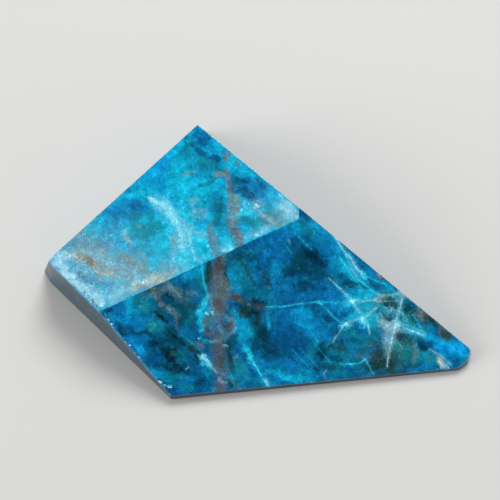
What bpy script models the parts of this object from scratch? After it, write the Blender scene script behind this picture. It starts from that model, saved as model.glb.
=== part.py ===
"""Blue apatite freeform: one palm-sized lump of rough, ground to flat faces, polished, and lying on its base.

It stands in its own frame, +Z up, with the origin under the middle of its bounding box, on the surface it
rests on. The long side runs along X, and the low pointed lip looks towards -Y.
"""

from dataclasses import dataclass
from math import cos, radians, sin

import bmesh
import bpy
from mathutils import Matrix, Vector

MM = 0.001

# The rough block that the faces are ground from, larger each way than the finished stone
BLOCK_LENGTH = 130 * MM
BLOCK_DEPTH = 100 * MM
BLOCK_HEIGHT = 40 * MM

# How far the polisher has eased the edges between two faces, and in how many steps
EDGE_EASE = 0.35 * MM
EASE_STEPS = 2
SHARP_EDGE_DEG = 10

STONE_BLUE = (0.006, 0.155, 0.300, 1.0)
STONE_ROUGHNESS = 0.12


@dataclass(frozen=True)
class GroundFace:
    """One flat face of the stone, described from the middle of the base.

    bearing: the way the face looks, in degrees from +X towards +Y
    slope: how steep it is, in degrees, where 0 is a level table and 90 an upright wall
    reach_mm: how far it lies from the middle of the base, measured square to the face
    """

    name: str
    bearing: float
    slope: float
    reach_mm: float

    @property
    def outward(self):
        """The unit vector out of the stone."""
        turn, tilt = radians(self.bearing), radians(self.slope)
        return Vector((sin(tilt) * cos(turn), sin(tilt) * sin(turn), cos(tilt)))

    @property
    def middle(self):
        """The point of the face nearest to the middle of the base."""
        return self.outward * self.reach_mm * MM


# The two broad tables meet in the long ridge, and a small one trims the ridge's high end
TABLES = (
    GroundFace("upper table", bearing=242, slope=11.5, reach_mm=19.1),
    GroundFace("front table", bearing=-83, slope=29.5, reach_mm=17.85),
    GroundFace("ridge end", bearing=-42, slope=17, reach_mm=22.0),
)

# The walls stand on the base: steep on the left, a low lip in front, and two that lean back behind
WALLS = (
    GroundFace("left wall", bearing=225.5, slope=86, reach_mm=37.4),
    GroundFace("front lip", bearing=-84, slope=84.5, reach_mm=32.4),
    GroundFace("back right wall", bearing=48.5, slope=73.5, reach_mm=16.6),
    GroundFace("back left wall", bearing=134, slope=76, reach_mm=31.0),
)

# Small flats take off the thin point on the right and the left corner
CORNERS = (
    GroundFace("point, front flat", bearing=-51, slope=80, reach_mm=51.3),
    GroundFace("point, right flat", bearing=-14, slope=82, reach_mm=55.2),
    GroundFace("left corner flat", bearing=207, slope=84, reach_mm=44.7),
)


def clear_scene():
    """Take every object out of the scene."""
    for obj in list(bpy.data.objects):
        bpy.data.objects.remove(obj, do_unlink=True)


def rough_block():
    """A plain block of rough that stands on the base plane."""
    block = bmesh.new()
    size = Matrix.Diagonal((BLOCK_LENGTH, BLOCK_DEPTH, BLOCK_HEIGHT, 1))
    lift = Matrix.Translation((0, 0, BLOCK_HEIGHT / 2))
    bmesh.ops.create_cube(block, size=1, matrix=lift @ size)
    return block


def grind(block, face):
    """Take off all that lies beyond the face, and close the cut with one flat polygon."""
    cut = bmesh.ops.bisect_plane(
        block,
        geom=block.verts[:] + block.edges[:] + block.faces[:],
        dist=1e-6 * MM,
        plane_co=face.middle,
        plane_no=face.outward,
        clear_outer=True,
    )
    rim = [part for part in cut["geom_cut"] if isinstance(part, bmesh.types.BMEdge)]
    bmesh.ops.contextual_create(block, geom=rim)


def centre_on_base(block):
    """Slide the stone so that the origin lies under the middle of its bounding box."""
    for axis in (0, 1):
        places = [vert.co[axis] for vert in block.verts]
        slide = Vector((0, 0, 0))
        slide[axis] = -(min(places) + max(places)) / 2
        bmesh.ops.translate(block, verts=block.verts, vec=slide)


def stone_material():
    """Polished deep blue apatite."""
    material = bpy.data.materials.new("polished_apatite")
    material.use_nodes = True
    shader = material.node_tree.nodes["Principled BSDF"]
    shader.inputs["Base Color"].default_value = STONE_BLUE
    shader.inputs["Roughness"].default_value = STONE_ROUGHNESS
    shader.inputs["Metallic"].default_value = 0.0
    return material


def build_stone(collection):
    """Grind the stone from its block, ease its edges and dress it."""
    block = rough_block()
    for face in TABLES + WALLS + CORNERS:
        grind(block, face)
    centre_on_base(block)
    bmesh.ops.recalc_face_normals(block, faces=block.faces)
    mesh = bpy.data.meshes.new("apatite_stone")
    block.to_mesh(mesh)
    block.free()
    mesh.materials.append(stone_material())

    stone = bpy.data.objects.new("apatite_stone", mesh)
    collection.objects.link(stone)
    easing = stone.modifiers.new("eased edges", "BEVEL")
    easing.width = EDGE_EASE
    easing.segments = EASE_STEPS
    easing.limit_method = "ANGLE"
    easing.angle_limit = radians(SHARP_EDGE_DEG)
    return stone


def main():
    """Build the blue apatite in a collection of its own."""
    clear_scene()
    collection = bpy.data.collections.new("blue_apatite")
    bpy.context.scene.collection.children.link(collection)
    build_stone(collection)


main()
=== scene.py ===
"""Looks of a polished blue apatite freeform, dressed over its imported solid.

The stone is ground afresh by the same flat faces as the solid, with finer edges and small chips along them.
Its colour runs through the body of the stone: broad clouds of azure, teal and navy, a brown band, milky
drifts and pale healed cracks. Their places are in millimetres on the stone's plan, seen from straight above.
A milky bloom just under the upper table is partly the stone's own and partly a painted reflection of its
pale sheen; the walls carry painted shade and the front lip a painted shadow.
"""

import logging
import random
from dataclasses import dataclass, field
from enum import Enum
from math import cos, pi, radians, sin
from typing import Any, ClassVar, Dict, List, Optional, Sequence, Tuple

import bpy
from mathutils import Matrix, Vector

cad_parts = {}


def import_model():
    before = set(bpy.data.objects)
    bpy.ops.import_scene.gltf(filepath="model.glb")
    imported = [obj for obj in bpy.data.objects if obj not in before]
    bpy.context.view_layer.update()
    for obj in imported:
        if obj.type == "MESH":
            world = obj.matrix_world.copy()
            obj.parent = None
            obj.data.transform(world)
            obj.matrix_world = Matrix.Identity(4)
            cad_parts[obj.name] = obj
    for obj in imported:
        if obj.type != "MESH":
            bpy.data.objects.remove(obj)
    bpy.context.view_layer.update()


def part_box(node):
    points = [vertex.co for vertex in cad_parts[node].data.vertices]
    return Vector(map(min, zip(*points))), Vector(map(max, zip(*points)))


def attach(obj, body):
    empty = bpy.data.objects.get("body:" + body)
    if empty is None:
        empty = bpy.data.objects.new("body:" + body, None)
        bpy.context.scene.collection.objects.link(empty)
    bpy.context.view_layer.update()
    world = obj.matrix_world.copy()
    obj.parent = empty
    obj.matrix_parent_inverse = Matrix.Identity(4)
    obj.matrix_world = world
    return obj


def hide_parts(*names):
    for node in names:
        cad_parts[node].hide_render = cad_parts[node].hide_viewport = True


MM = 0.001
STONE_NODE = "apatite_stone"
STONE_BODY = "root"
# How strongly apatite bends light
APATITE_INDEX = 1.63
# Points of a cut that lie closer than this, in metres, become one
WELD = 1e-7
# Farther than any place on the stone, in millimetres or in half widths of a vein
FAR_OFF = 99.0

Point = Tuple[float, float]
Span = Tuple[float, float]
Colour = Tuple[float, float, float, float]

log = logging.getLogger("blue_apatite")


def deselect_all() -> None:
    """Leave edit mode if need be, and deselect every object."""
    if bpy.context.object and bpy.context.object.mode != "OBJECT":
        bpy.ops.object.mode_set(mode="OBJECT")
    bpy.ops.object.select_all(action="DESELECT")


@dataclass(frozen=True)
class GroundFace:
    """One flat face of the stone, described from the middle of the rough block's base.

    bearing: the way the face looks, in degrees from +X towards +Y
    slope: how steep it is, in degrees, where 0 is a level table and 90 an upright wall
    reach_mm: how far it lies from the middle of the base, measured square to the face
    """

    name: str
    bearing: float
    slope: float
    reach_mm: float

    @property
    def outward(self) -> Vector:
        """The unit vector out of the stone."""
        turn, tilt = radians(self.bearing), radians(self.slope)
        return Vector((sin(tilt) * cos(turn), sin(tilt) * sin(turn), cos(tilt)))

    @property
    def middle(self) -> Vector:
        """The point of the face nearest to the middle of the base, in metres."""
        return self.outward * self.reach_mm * MM

    def depth_below(self, place: Vector) -> float:
        """How far a place lies behind the face, in metres."""
        return self.reach_mm * MM - self.outward.dot(place)


TABLES = (
    GroundFace("upper table", bearing=242, slope=11.5, reach_mm=19.1),
    GroundFace("front table", bearing=-83, slope=29.5, reach_mm=17.85),
    GroundFace("ridge end", bearing=-42, slope=17, reach_mm=22.0),
)
WALLS = (
    GroundFace("left wall", bearing=225.5, slope=86, reach_mm=37.4),
    GroundFace("front lip", bearing=-84, slope=84.5, reach_mm=32.4),
    GroundFace("back right wall", bearing=48.5, slope=73.5, reach_mm=16.6),
    GroundFace("back left wall", bearing=134, slope=76, reach_mm=31.0),
    GroundFace("point, front flat", bearing=-51, slope=80, reach_mm=51.3),
    GroundFace("point, right flat", bearing=-14, slope=82, reach_mm=55.2),
    GroundFace("left corner flat", bearing=207, slope=84, reach_mm=44.7),
)


@dataclass(frozen=True)
class Blots:
    """A noise of soft blots.

    wave_mm: the width of its largest blots
    detail: how many finer layers it has
    rough: how strong the finer layers are
    twist: how far its blots are pulled about
    """

    wave_mm: float
    detail: float
    rough: float = 0.5
    twist: float = 0.0


@dataclass
class Wiring:
    """Adds nodes to one node tree and links them."""

    tree: bpy.types.NodeTree

    def node(self, kind: str, inputs: Optional[Dict[Any, Any]] = None, **settings: Any) -> bpy.types.Node:
        """Add one node.

        Args:
            kind: the node's type name.
            inputs: a socket to link or a plain value, for each input's name or number.
            settings: the node's own settings.

        Returns:
            The new node.
        """
        made = self.tree.nodes.new(kind)
        for name, value in settings.items():
            setattr(made, name, value)
        for key, value in (inputs or {}).items():
            self.feed(made.inputs[key], value)
        return made

    def feed(self, socket: bpy.types.NodeSocket, value: Any) -> None:
        """Link a socket into an input, or set its plain value."""
        if isinstance(value, bpy.types.NodeSocket):
            self.tree.links.new(value, socket)
        else:
            socket.default_value = value

    def group(self, tree: bpy.types.NodeTree, inputs: Dict[Any, Any]) -> bpy.types.Node:
        """A node that stands for a whole node group."""
        made = self.tree.nodes.new("ShaderNodeGroup")
        made.node_tree = tree
        for key, value in inputs.items():
            self.feed(made.inputs[key], value)
        return made

    def math(self, operation: str, *values: Any) -> bpy.types.NodeSocket:
        """One sum of numbers, as a Math node's output."""
        return self.node("ShaderNodeMath", dict(enumerate(values)), operation=operation).outputs[0]

    def vector(self, operation: str, *values: Any) -> bpy.types.NodeSocket:
        """One sum of vectors. A dot product, length or distance comes out as a number."""
        made = self.node("ShaderNodeVectorMath", dict(enumerate(values)), operation=operation)
        number = operation in ("DOT_PRODUCT", "LENGTH", "DISTANCE")
        return made.outputs["Value" if number else "Vector"]

    def scaled(self, place: Any, factor: Any) -> bpy.types.NodeSocket:
        """A vector times a number."""
        inputs = {"Vector": place, "Scale": factor}
        return self.node("ShaderNodeVectorMath", inputs, operation="SCALE").outputs["Vector"]

    def span(self, value: Any, start: Any, end: Any, low: Any = 0.0, high: Any = 1.0,
             smooth: bool = False) -> bpy.types.NodeSocket:
        """A number carried from one span to another, and kept within its ends.

        Args:
            value: the number.
            start, end: the span that it comes from.
            low, high: what it becomes at the two ends.
            smooth: whether the ends are eased.

        Returns:
            The number carried over.
        """
        kind = "SMOOTHSTEP" if smooth else "LINEAR"
        inputs = {0: value, 1: start, 2: end, 3: low, 4: high}
        carried = self.node("ShaderNodeMapRange", inputs, interpolation_type=kind, clamp=False).outputs[0]
        return carried if smooth else self.held(carried, low, high)

    def held(self, value: Any, low: Any = 0.0, high: Any = 1.0) -> bpy.types.NodeSocket:
        """A number kept between two others."""
        return self.node("ShaderNodeClamp", {0: value, 1: low, 2: high}, clamp_type="RANGE").outputs[0]

    def noise(self, place: Any, blots: Blots) -> bpy.types.Node:
        """A noise node read at a place in millimetres, whose Fac and Color lie round one half."""
        inputs = {"Vector": place, "Scale": 1 / blots.wave_mm, "Detail": blots.detail,
                  "Roughness": blots.rough, "Distortion": blots.twist}
        return self.node("ShaderNodeTexNoise", inputs)

    def hairline(self, place: Any, wave_mm: float, width: float) -> bpy.types.NodeSocket:
        """Fine lines between the cells of a net.

        Args:
            place: the vector that it reads, in millimetres.
            wave_mm: the width of its cells.
            width: how far its lines reach into the cells, as a share of a cell.

        Returns:
            One on the lines and nothing between them.
        """
        inputs = {"Vector": place, "Scale": 1 / wave_mm}
        cells = self.node("ShaderNodeTexVoronoi", inputs, feature="DISTANCE_TO_EDGE")
        return self.span(cells.outputs["Distance"], width, 0.0)

    def blend(self, factor: Any, under: Any, over: Any, way: str = "MIX") -> bpy.types.NodeSocket:
        """One colour laid over another by a factor."""
        made = self.node("ShaderNodeMix", data_type="RGBA", blend_type=way)
        self.feed(made.inputs["Factor"], factor)
        self.feed(made.inputs[6], under)
        self.feed(made.inputs[7], over)
        return made.outputs[2]


@dataclass(frozen=True)
class PlainFinish:
    """A finish of one even colour.

    name: what its material is called
    colour: its colour
    roughness: how matt it is
    index: how strongly it bends light
    """

    name: str
    colour: Colour
    roughness: float
    index: float = 1.5

    def material(self) -> bpy.types.Material:
        """Make the material."""
        material = bpy.data.materials.new(self.name)
        material.use_nodes = True
        shader = material.node_tree.nodes["Principled BSDF"]
        shader.inputs["Base Color"].default_value = self.colour
        shader.inputs["Roughness"].default_value = self.roughness
        shader.inputs["IOR"].default_value = self.index
        return material


PALE_FLOOR = PlainFinish("plain pale floor", (0.56, 0.56, 0.545, 1.0), 0.6)
FRESH_CHIP = PlainFinish("fresh chip", (0.16, 0.42, 0.52, 1.0), 0.45, APATITE_INDEX)


@dataclass(frozen=True)
class Studio:
    """The pale floor, the soft lights and the surroundings.

    floor_size: how wide the floor is, in metres
    surround: how light the room is that the polish mirrors
    skylight: how much even light falls on the stone from all round
    backdrop: how light the room is to the camera
    glow_height: how high the small lamps hang, in metres
    glow_radiance: how bright their faces are
    """

    floor_size: float = 6.0
    surround: float = 0.013
    skylight: float = 0.46
    backdrop: float = 0.75
    glow_height: float = 0.7
    glow_radiance: float = 1.0

    def build(self) -> None:
        """Lay the floor and hang the lights."""
        self.lay_floor()
        self.hang_softbox("key light", bearing=75, height=49, distance=1.7, size=0.92, power=23.0)
        self.hang_softbox("fill light", bearing=190, height=32, distance=1.9, size=1.3, power=18.0)
        self.hang_glow("glow over the left corner", (-0.222, -0.016), (0.075, 0.050))
        self.hang_glow("glow over the ridge end", (-0.105, 0.012), (0.034, 0.034))
        self.set_surroundings()
        bpy.context.scene.view_settings.view_transform = "Standard"

    def lay_floor(self) -> None:
        """A wide plain floor."""
        deselect_all()
        bpy.ops.mesh.primitive_plane_add(size=self.floor_size, location=(0, 0, 0))
        floor = bpy.context.object
        floor.name = "floor"
        floor.data.materials.append(PALE_FLOOR.material())

    def hang_softbox(self, name: str, bearing: float, height: float, distance: float, size: float,
                     power: float) -> None:
        """A large round soft light that faces the stone.

        Args:
            name: the light's name.
            bearing: where it hangs, in degrees from +X towards +Y.
            height: how high it hangs, in degrees above the floor.
            distance: how far it hangs from the stone, in metres.
            size: how wide it is, in metres.
            power: its power in watts.
        """
        turn, rise = radians(bearing), radians(height)
        way = Vector((cos(rise) * cos(turn), cos(rise) * sin(turn), sin(rise)))
        bpy.ops.object.light_add(type="AREA", location=way * distance)
        light = bpy.context.object
        light.name = name
        light.rotation_euler = way.to_track_quat("Z", "Y").to_euler()
        light.data.shape = "DISK"
        light.data.size = size
        light.data.energy = power

    def hang_glow(self, name: str, place: Point, size: Point) -> None:
        """A small soft lamp overhead that the upper table mirrors.

        Args:
            name: the lamp's name.
            place: where it hangs, in plan.
            size: how long and how wide it is.
        """
        bpy.ops.object.light_add(type="AREA", location=(place[0], place[1], self.glow_height))
        glow = bpy.context.object
        glow.name = name
        glow.data.shape = "ELLIPSE"
        glow.data.size, glow.data.size_y = size
        # A lamp's power is its radiance times pi times its area, here that of an ellipse
        area = pi / 4 * size[0] * size[1]
        glow.data.energy = self.glow_radiance * pi * area

    def set_surroundings(self) -> None:
        """Even light from all round, a dim room for the polish to mirror and a pale backdrop."""
        world = bpy.data.worlds.new("studio")
        world.use_nodes = True
        wiring = Wiring(world.node_tree)
        for old in list(world.node_tree.nodes):
            world.node_tree.nodes.remove(old)
        path = wiring.node("ShaderNodeLightPath").outputs
        strength: Any = self.surround
        for ray, seen in (("Is Diffuse Ray", self.skylight), ("Is Camera Ray", self.backdrop)):
            mixed = wiring.node("ShaderNodeMix", {"Factor": path[ray], "A": strength, "B": seen})
            strength = mixed.outputs[0]
        room = wiring.node("ShaderNodeBackground", {"Color": (1, 1, 1, 1), "Strength": strength})
        wiring.node("ShaderNodeOutputWorld", {"Surface": room.outputs[0]})
        bpy.context.scene.world = world


@dataclass(frozen=True)
class Viewpoint:
    """The camera, high in front of the stone and looking down on it.

    elevation: how high it looks from, in degrees above the floor
    distance: how far it stands from what it looks at, in metres
    aim: the place that it looks at
    lens_mm, sensor_mm: its focal length and how wide its picture is
    nearest: the nearest thing that it sees, in metres
    """

    elevation: float = 70
    distance: float = 0.420
    aim: Tuple[float, float, float] = (-0.00141, 0.00067, 0.006)
    lens_mm: float = 128.5
    sensor_mm: float = 36
    nearest: float = 0.01

    def build(self) -> None:
        """Set up the camera and make it the scene's own."""
        rise = radians(self.elevation)
        back = Vector((0, -cos(rise), sin(rise)))
        bpy.ops.object.camera_add(location=Vector(self.aim) + back * self.distance)
        camera = bpy.context.object
        camera.name = "camera"
        camera.rotation_euler = (-back).to_track_quat("-Z", "Y").to_euler()
        camera.data.lens = self.lens_mm
        camera.data.sensor_width = self.sensor_mm
        camera.data.clip_start = self.nearest
        bpy.context.scene.camera = camera


class Ease(Enum):
    """How far the polisher rounds an edge, in millimetres."""

    RIDGE = 0.12
    BACK_RIM = 0.08
    FRONT_RIM = 0.22
    CORNER = 0.35


@dataclass(frozen=True)
class ChippedEdge:
    """An edge with small chips along it.

    first, second: the two faces that meet in the edge
    start, end: the faces that close the edge at its two ends
    chips: how many chips it has
    sizes: the smallest and the largest chip's radius, in millimetres
    """

    first: GroundFace
    second: GroundFace
    start: GroundFace
    end: GroundFace
    chips: int
    sizes: Tuple[float, float]

    @property
    def ends(self) -> Tuple[Vector, Vector]:
        """The edge's two end points on the ground block."""
        return (corner(self.first, self.second, self.start), corner(self.first, self.second, self.end))

    @property
    def outward(self) -> Vector:
        """The way out of the stone, halfway between the two faces."""
        return (self.first.outward + self.second.outward).normalized()


def corner(one: GroundFace, two: GroundFace, three: GroundFace) -> Vector:
    """The point where three faces meet, in metres."""
    normals = Matrix((one.outward, two.outward, three.outward))
    return normals.inverted() @ Vector((one.reach_mm, two.reach_mm, three.reach_mm)) * MM


UPPER_TABLE, FRONT_TABLE, RIDGE_END = TABLES
LEFT_WALL, FRONT_LIP, BACK_RIGHT, BACK_LEFT, POINT_FRONT, POINT_RIGHT, LEFT_CORNER = WALLS
CHIPPED_EDGES = (
    ChippedEdge(UPPER_TABLE, LEFT_WALL, LEFT_CORNER, FRONT_TABLE, 17, (0.16, 0.50)),
    ChippedEdge(FRONT_TABLE, LEFT_WALL, UPPER_TABLE, FRONT_LIP, 20, (0.12, 0.42)),
    ChippedEdge(FRONT_TABLE, FRONT_LIP, LEFT_WALL, POINT_FRONT, 22, (0.10, 0.30)),
    ChippedEdge(UPPER_TABLE, BACK_LEFT, LEFT_CORNER, BACK_RIGHT, 9, (0.10, 0.25)),
    ChippedEdge(UPPER_TABLE, BACK_RIGHT, BACK_LEFT, FRONT_TABLE, 5, (0.10, 0.22)),
    ChippedEdge(FRONT_TABLE, BACK_RIGHT, RIDGE_END, POINT_RIGHT, 10, (0.10, 0.26)),
)


@dataclass
class ApatiteStone:
    """The stone: its faces, its eased edges and its chips.

    block: the length, the depth and the height of the rough block, in metres
    ease_steps: how many steps round an edge
    upright: how far a face looks up at least to count as a table
    chip_bite: how much of a chip's radius lies inside the stone
    chip_start, chip_stagger: where in its share of the edge a chip sits, at least and how much farther
    lump_length, lump_height: a bite's size for its radius, at least and how much more at most
    lump_dents: how uneven a bite is
    seed: the start of the random numbers
    slide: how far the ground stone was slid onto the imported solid
    """

    block: Tuple[float, float, float] = (130 * MM, 100 * MM, 40 * MM)
    ease_steps: int = 3
    upright: float = 0.5
    chip_bite: float = 0.45
    chip_start: float = 0.15
    chip_stagger: float = 0.7
    lump_length: Span = (1.1, 0.9)
    lump_height: Span = (0.8, 0.3)
    lump_dents: float = 0.16
    seed: int = 7
    slide: Vector = field(default_factory=Vector)

    def build(self) -> bpy.types.Object:
        """Grind the stone, ease and chip its edges, hide the imported solid and hang the stone under its
        body.

        Returns:
            The finished stone.
        """
        deselect_all()
        bpy.ops.mesh.primitive_cube_add(size=1, location=(0, 0, self.block[2] / 2), scale=self.block)
        stone = bpy.context.object
        stone.name = "stone"
        bpy.ops.object.transform_apply(location=True, rotation=True, scale=True)
        bpy.ops.object.mode_set(mode="EDIT")
        for face in TABLES + WALLS:
            self.grind(face)
        bpy.ops.object.mode_set(mode="OBJECT")
        self.slide = self.centre_on_node(stone)
        for side in (UPPER_SIDE, FRONT_SIDE):
            stone.data.materials.append(PolishedApatite(side).material(self.slide))
        self.ease_edges(stone)
        self.part_at_ridge(stone)
        self.chip_edges(stone)
        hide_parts(STONE_NODE)
        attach(stone, STONE_BODY)
        return stone

    def grind(self, face: GroundFace) -> None:
        """Cut off all that lies beyond one face and close the cut."""
        bpy.ops.mesh.select_all(action="SELECT")
        bpy.ops.mesh.bisect(plane_co=face.middle, plane_no=face.outward, use_fill=True, clear_outer=True,
                            threshold=WELD)

    def centre_on_node(self, stone: bpy.types.Object) -> Vector:
        """Slide the stone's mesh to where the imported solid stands.

        Args:
            stone: the ground stone.

        Returns:
            How far it went.
        """
        low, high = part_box(STONE_NODE)
        target = (Vector(low) + Vector(high)) / 2
        places = [vert.co for vert in stone.data.vertices]
        mine = [(min(p[axis] for p in places) + max(p[axis] for p in places)) / 2 for axis in range(3)]
        slide = Vector((target.x - mine[0], target.y - mine[1], 0))
        stone.data.transform(Matrix.Translation(slide))
        return slide

    def ease_edges(self, stone: bpy.types.Object) -> None:
        """Round every edge slightly, as the polisher leaves it: the ridge crisp, the corners more."""
        mesh = stone.data
        widest = max(ease.value for ease in Ease)
        weights = mesh.attributes.new("bevel_weight_edge", "FLOAT", "EDGE")
        beside: Dict[Tuple[int, int], List[Vector]] = {}
        for face in mesh.polygons:
            for key in face.edge_keys:
                beside.setdefault(key, []).append(face.normal.copy())
        for edge in mesh.edges:
            weights.data[edge.index].value = self.ease_of(beside[edge.key]).value / widest
        easing = stone.modifiers.new("eased edges", "BEVEL")
        easing.width = widest * MM
        easing.segments = self.ease_steps
        easing.limit_method = "WEIGHT"
        bpy.ops.object.modifier_apply(modifier=easing.name)

    def ease_of(self, normals: Sequence[Vector]) -> Ease:
        """How far the edge between two faces, given by their normals, is rounded."""
        tables = [normal for normal in normals if normal.z > self.upright]
        if len(tables) == 2:
            return Ease.RIDGE
        if not tables:
            return Ease.CORNER
        wall = min(normals, key=lambda normal: normal.z)
        return Ease.BACK_RIM if wall.y > 0 else Ease.FRONT_RIM

    def part_at_ridge(self, stone: bpy.types.Object) -> None:
        """Cut the mesh along the ridge, so that each side of it can wear its own marks."""
        bpy.ops.object.mode_set(mode="EDIT")
        for other in (FRONT_TABLE, RIDGE_END):
            across = UPPER_TABLE.outward - other.outward
            reach = (UPPER_TABLE.reach_mm - other.reach_mm) * MM + across.dot(self.slide)
            bpy.ops.mesh.select_all(action="SELECT")
            bpy.ops.mesh.bisect(plane_co=across * reach / across.length_squared, plane_no=across,
                                threshold=WELD)
        bpy.ops.object.mode_set(mode="OBJECT")
        for face in stone.data.polygons:
            depths = [table.depth_below(face.center - self.slide) for table in TABLES]
            face.material_index = 0 if depths[0] < min(depths[1:]) else 1

    def chip_edges(self, stone: bpy.types.Object) -> None:
        """Bite small shell-shaped chips out of the edges, which show fresh, paler stone."""
        chance = random.Random(self.seed)
        deselect_all()
        bites = []
        for edge in CHIPPED_EDGES:
            start, end = edge.ends
            for number in range(edge.chips):
                share = (number + self.chip_start + self.chip_stagger * chance.random()) / edge.chips
                low, high = edge.sizes
                radius = (low + (high - low) * chance.random() ** 2) * MM
                out = radius * (1 - self.chip_bite)
                place = start.lerp(end, share) + self.slide + edge.outward * out
                bites.append(self.bite(place, radius, (end - start).to_track_quat("X", "Z"), chance))
        for bite in bites:
            bite.select_set(True)
        bpy.context.view_layer.objects.active = bites[0]
        bpy.ops.object.join()
        cutter = bpy.context.object
        cutter.data.materials.append(FRESH_CHIP.material())
        cut = stone.modifiers.new("chips", "BOOLEAN")
        cut.operation = "DIFFERENCE"
        cut.solver = "EXACT"
        cut.material_mode = "TRANSFER"
        cut.use_self = True
        cut.object = cutter
        deselect_all()
        stone.select_set(True)
        bpy.context.view_layer.objects.active = stone
        bpy.ops.object.modifier_apply(modifier=cut.name)
        bpy.data.objects.remove(cutter, do_unlink=True)

    def bite(self, place: Vector, radius: float, along: Any, chance: random.Random) -> bpy.types.Object:
        """One lump of the shape that a chip leaves behind.

        Args:
            place: its middle.
            radius: its size across the edge.
            along: the turn that lays its length along the edge.
            chance: the random numbers that vary it.

        Returns:
            The lump, an egg with a few flat spots.
        """
        bpy.ops.mesh.primitive_ico_sphere_add(subdivisions=2, radius=1, location=place)
        lump = bpy.context.object
        lump.rotation_euler = along.to_euler()
        sizes = (self.lump_length, self.lump_height)
        length, height = (least + more * chance.random() for least, more in sizes)
        lump.scale = (radius * length, radius, radius * height)
        for vert in lump.data.vertices:
            vert.co *= 1 + self.lump_dents * (chance.random() - 0.5)
        bpy.ops.object.transform_apply(location=True, rotation=True, scale=True)
        lump.select_set(False)
        return lump


class Tint(Enum):
    """The colours of the stone's body, as linear red, green and blue. PITCH and SLATE serve painted shade.
    """

    # Near black, worn only by the painted shadow on the front lip
    PITCH = (0.004, 0.015, 0.020)
    ABYSS = (0.001, 0.032, 0.065)
    NAVY = (0.001, 0.075, 0.165)
    COBALT = (0.001, 0.115, 0.320)
    ROYAL = (0.001, 0.200, 0.495)
    GENTIAN = (0.001, 0.310, 0.760)
    AZURE = (0.001, 0.310, 0.570)
    SKY = (0.003, 0.430, 0.640)
    CYAN = (0.020, 0.580, 0.780)
    TEAL = (0.003, 0.210, 0.290)
    DEEP_TEAL = (0.002, 0.090, 0.130)
    SEA = (0.015, 0.320, 0.360)
    BOTTLE = (0.012, 0.070, 0.075)
    OLIVE = (0.026, 0.085, 0.070)
    MOSS = (0.125, 0.180, 0.135)
    UMBER = (0.085, 0.095, 0.095)
    RUST = (0.190, 0.130, 0.075)
    BRICK = (0.150, 0.100, 0.100)
    MAUVE = (0.130, 0.155, 0.160)
    # Dull grey blue, worn only by the painted shade on the walls and the painted reflection on the left wall
    SLATE = (0.046, 0.080, 0.100)
    GREY = (0.130, 0.270, 0.290)
    HAZE = (0.140, 0.320, 0.400)
    DUSK = (0.035, 0.250, 0.400)
    TAN = (0.215, 0.245, 0.205)
    CREAM = (0.370, 0.480, 0.430)
    MILK = (0.190, 0.455, 0.590)
    ICE = (0.240, 0.690, 0.850)
    FROST = (0.360, 0.710, 0.840)
    SNOW = (0.620, 0.860, 0.930)

    @property
    def rgba(self) -> Colour:
        """The tint as an opaque colour."""
        red, green, blue = self.value
        return (red, green, blue, 1.0)


@dataclass(frozen=True)
class Fields:
    """What the marks of the stone read.

    drift, fray: the place in plan, with soft or with frayed outlines
    ragged, patchy: blotches that tear the rims of clouds, and that break up veins
    fibre: threads that run along Y
    web: a net of hairlines
    """

    drift: bpy.types.NodeSocket
    fray: bpy.types.NodeSocket
    ragged: bpy.types.NodeSocket
    patchy: bpy.types.NodeSocket
    fibre: bpy.types.NodeSocket
    web: bpy.types.NodeSocket

    @classmethod
    def from_sockets(cls, sockets: Any) -> "Fields":
        """The fields among a node's outputs or a group's inputs."""
        return cls(*(sockets[label] for label, _ in FIELD_SOCKETS))

    def as_inputs(self) -> Dict[str, bpy.types.NodeSocket]:
        """The fields by the names of a group's inputs."""
        own = (self.drift, self.fray, self.ragged, self.patchy, self.fibre, self.web)
        return {label: socket for (label, _), socket in zip(FIELD_SOCKETS, own)}


FIELD_SOCKETS = (("Drift", "Vector"), ("Fray", "Vector"), ("Ragged", "Float"), ("Patchy", "Float"),
                 ("Fibre", "Float"), ("Web", "Float"))


@dataclass(frozen=True)
class Cloud:
    """A ragged blot of one tint.

    x, y: its middle
    length, width: half its length and half its width, in millimetres
    turn: how far its length is turned from +X, in degrees
    strength: how much it covers
    outer, inner: from where to where it comes up, as shares of its half size
    torn: how far its rim is torn
    """

    x: float
    y: float
    length: float
    width: float
    turn: float
    tint: Tint
    strength: float
    outer: ClassVar[float] = 1.4
    inner: ClassVar[float] = 0.4
    torn: ClassVar[float] = 1.0

    def lay(self, wiring: Wiring, under: bpy.types.NodeSocket, fields: Fields) -> bpy.types.NodeSocket:
        """Lay the cloud over what is there.

        Args:
            wiring: the nodes of the region it belongs to.
            under: the colour so far.
            fields: the shared places and noises.

        Returns:
            The colour with the cloud on it.
        """
        turn = radians(self.turn)
        lengthways = sheet_line((cos(turn) / self.length, sin(turn) / self.length), (self.x, self.y))
        sideways = sheet_line((-sin(turn) / self.width, cos(turn) / self.width), (self.x, self.y))
        inputs = {"Under": under, "Plan": fields.drift, "Ragged": fields.ragged, "Torn": self.torn,
                  "Lengthways": lengthways, "Sideways": sideways, "Outer": self.outer, "Inner": self.inner,
                  "Tint": self.tint.rgba, "Strength": self.cover(wiring, fields)}
        return wiring.group(cloud_group(), inputs).outputs["Colour"]

    def cover(self, wiring: Wiring, fields: Fields) -> Any:
        """How much the cloud's middle covers."""
        return self.strength


@dataclass(frozen=True)
class Wash(Cloud):
    """A broad soft cloud that only tones what is there."""

    outer: ClassVar[float] = 1.3
    inner: ClassVar[float] = 0.0
    torn: ClassVar[float] = 0.45


@dataclass(frozen=True)
class Threads(Cloud):
    """A cloud made of threads that run along Y."""

    def cover(self, wiring: Wiring, fields: Fields) -> Any:
        """How much its threads cover."""
        return wiring.math("MULTIPLY", fields.fibre, self.strength)


@dataclass(frozen=True)
class Web(Cloud):
    """A cloud that is only a net of hairlines."""

    def cover(self, wiring: Wiring, fields: Fields) -> Any:
        """How much its hairlines cover."""
        return wiring.math("MULTIPLY", fields.web, self.strength)


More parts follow.
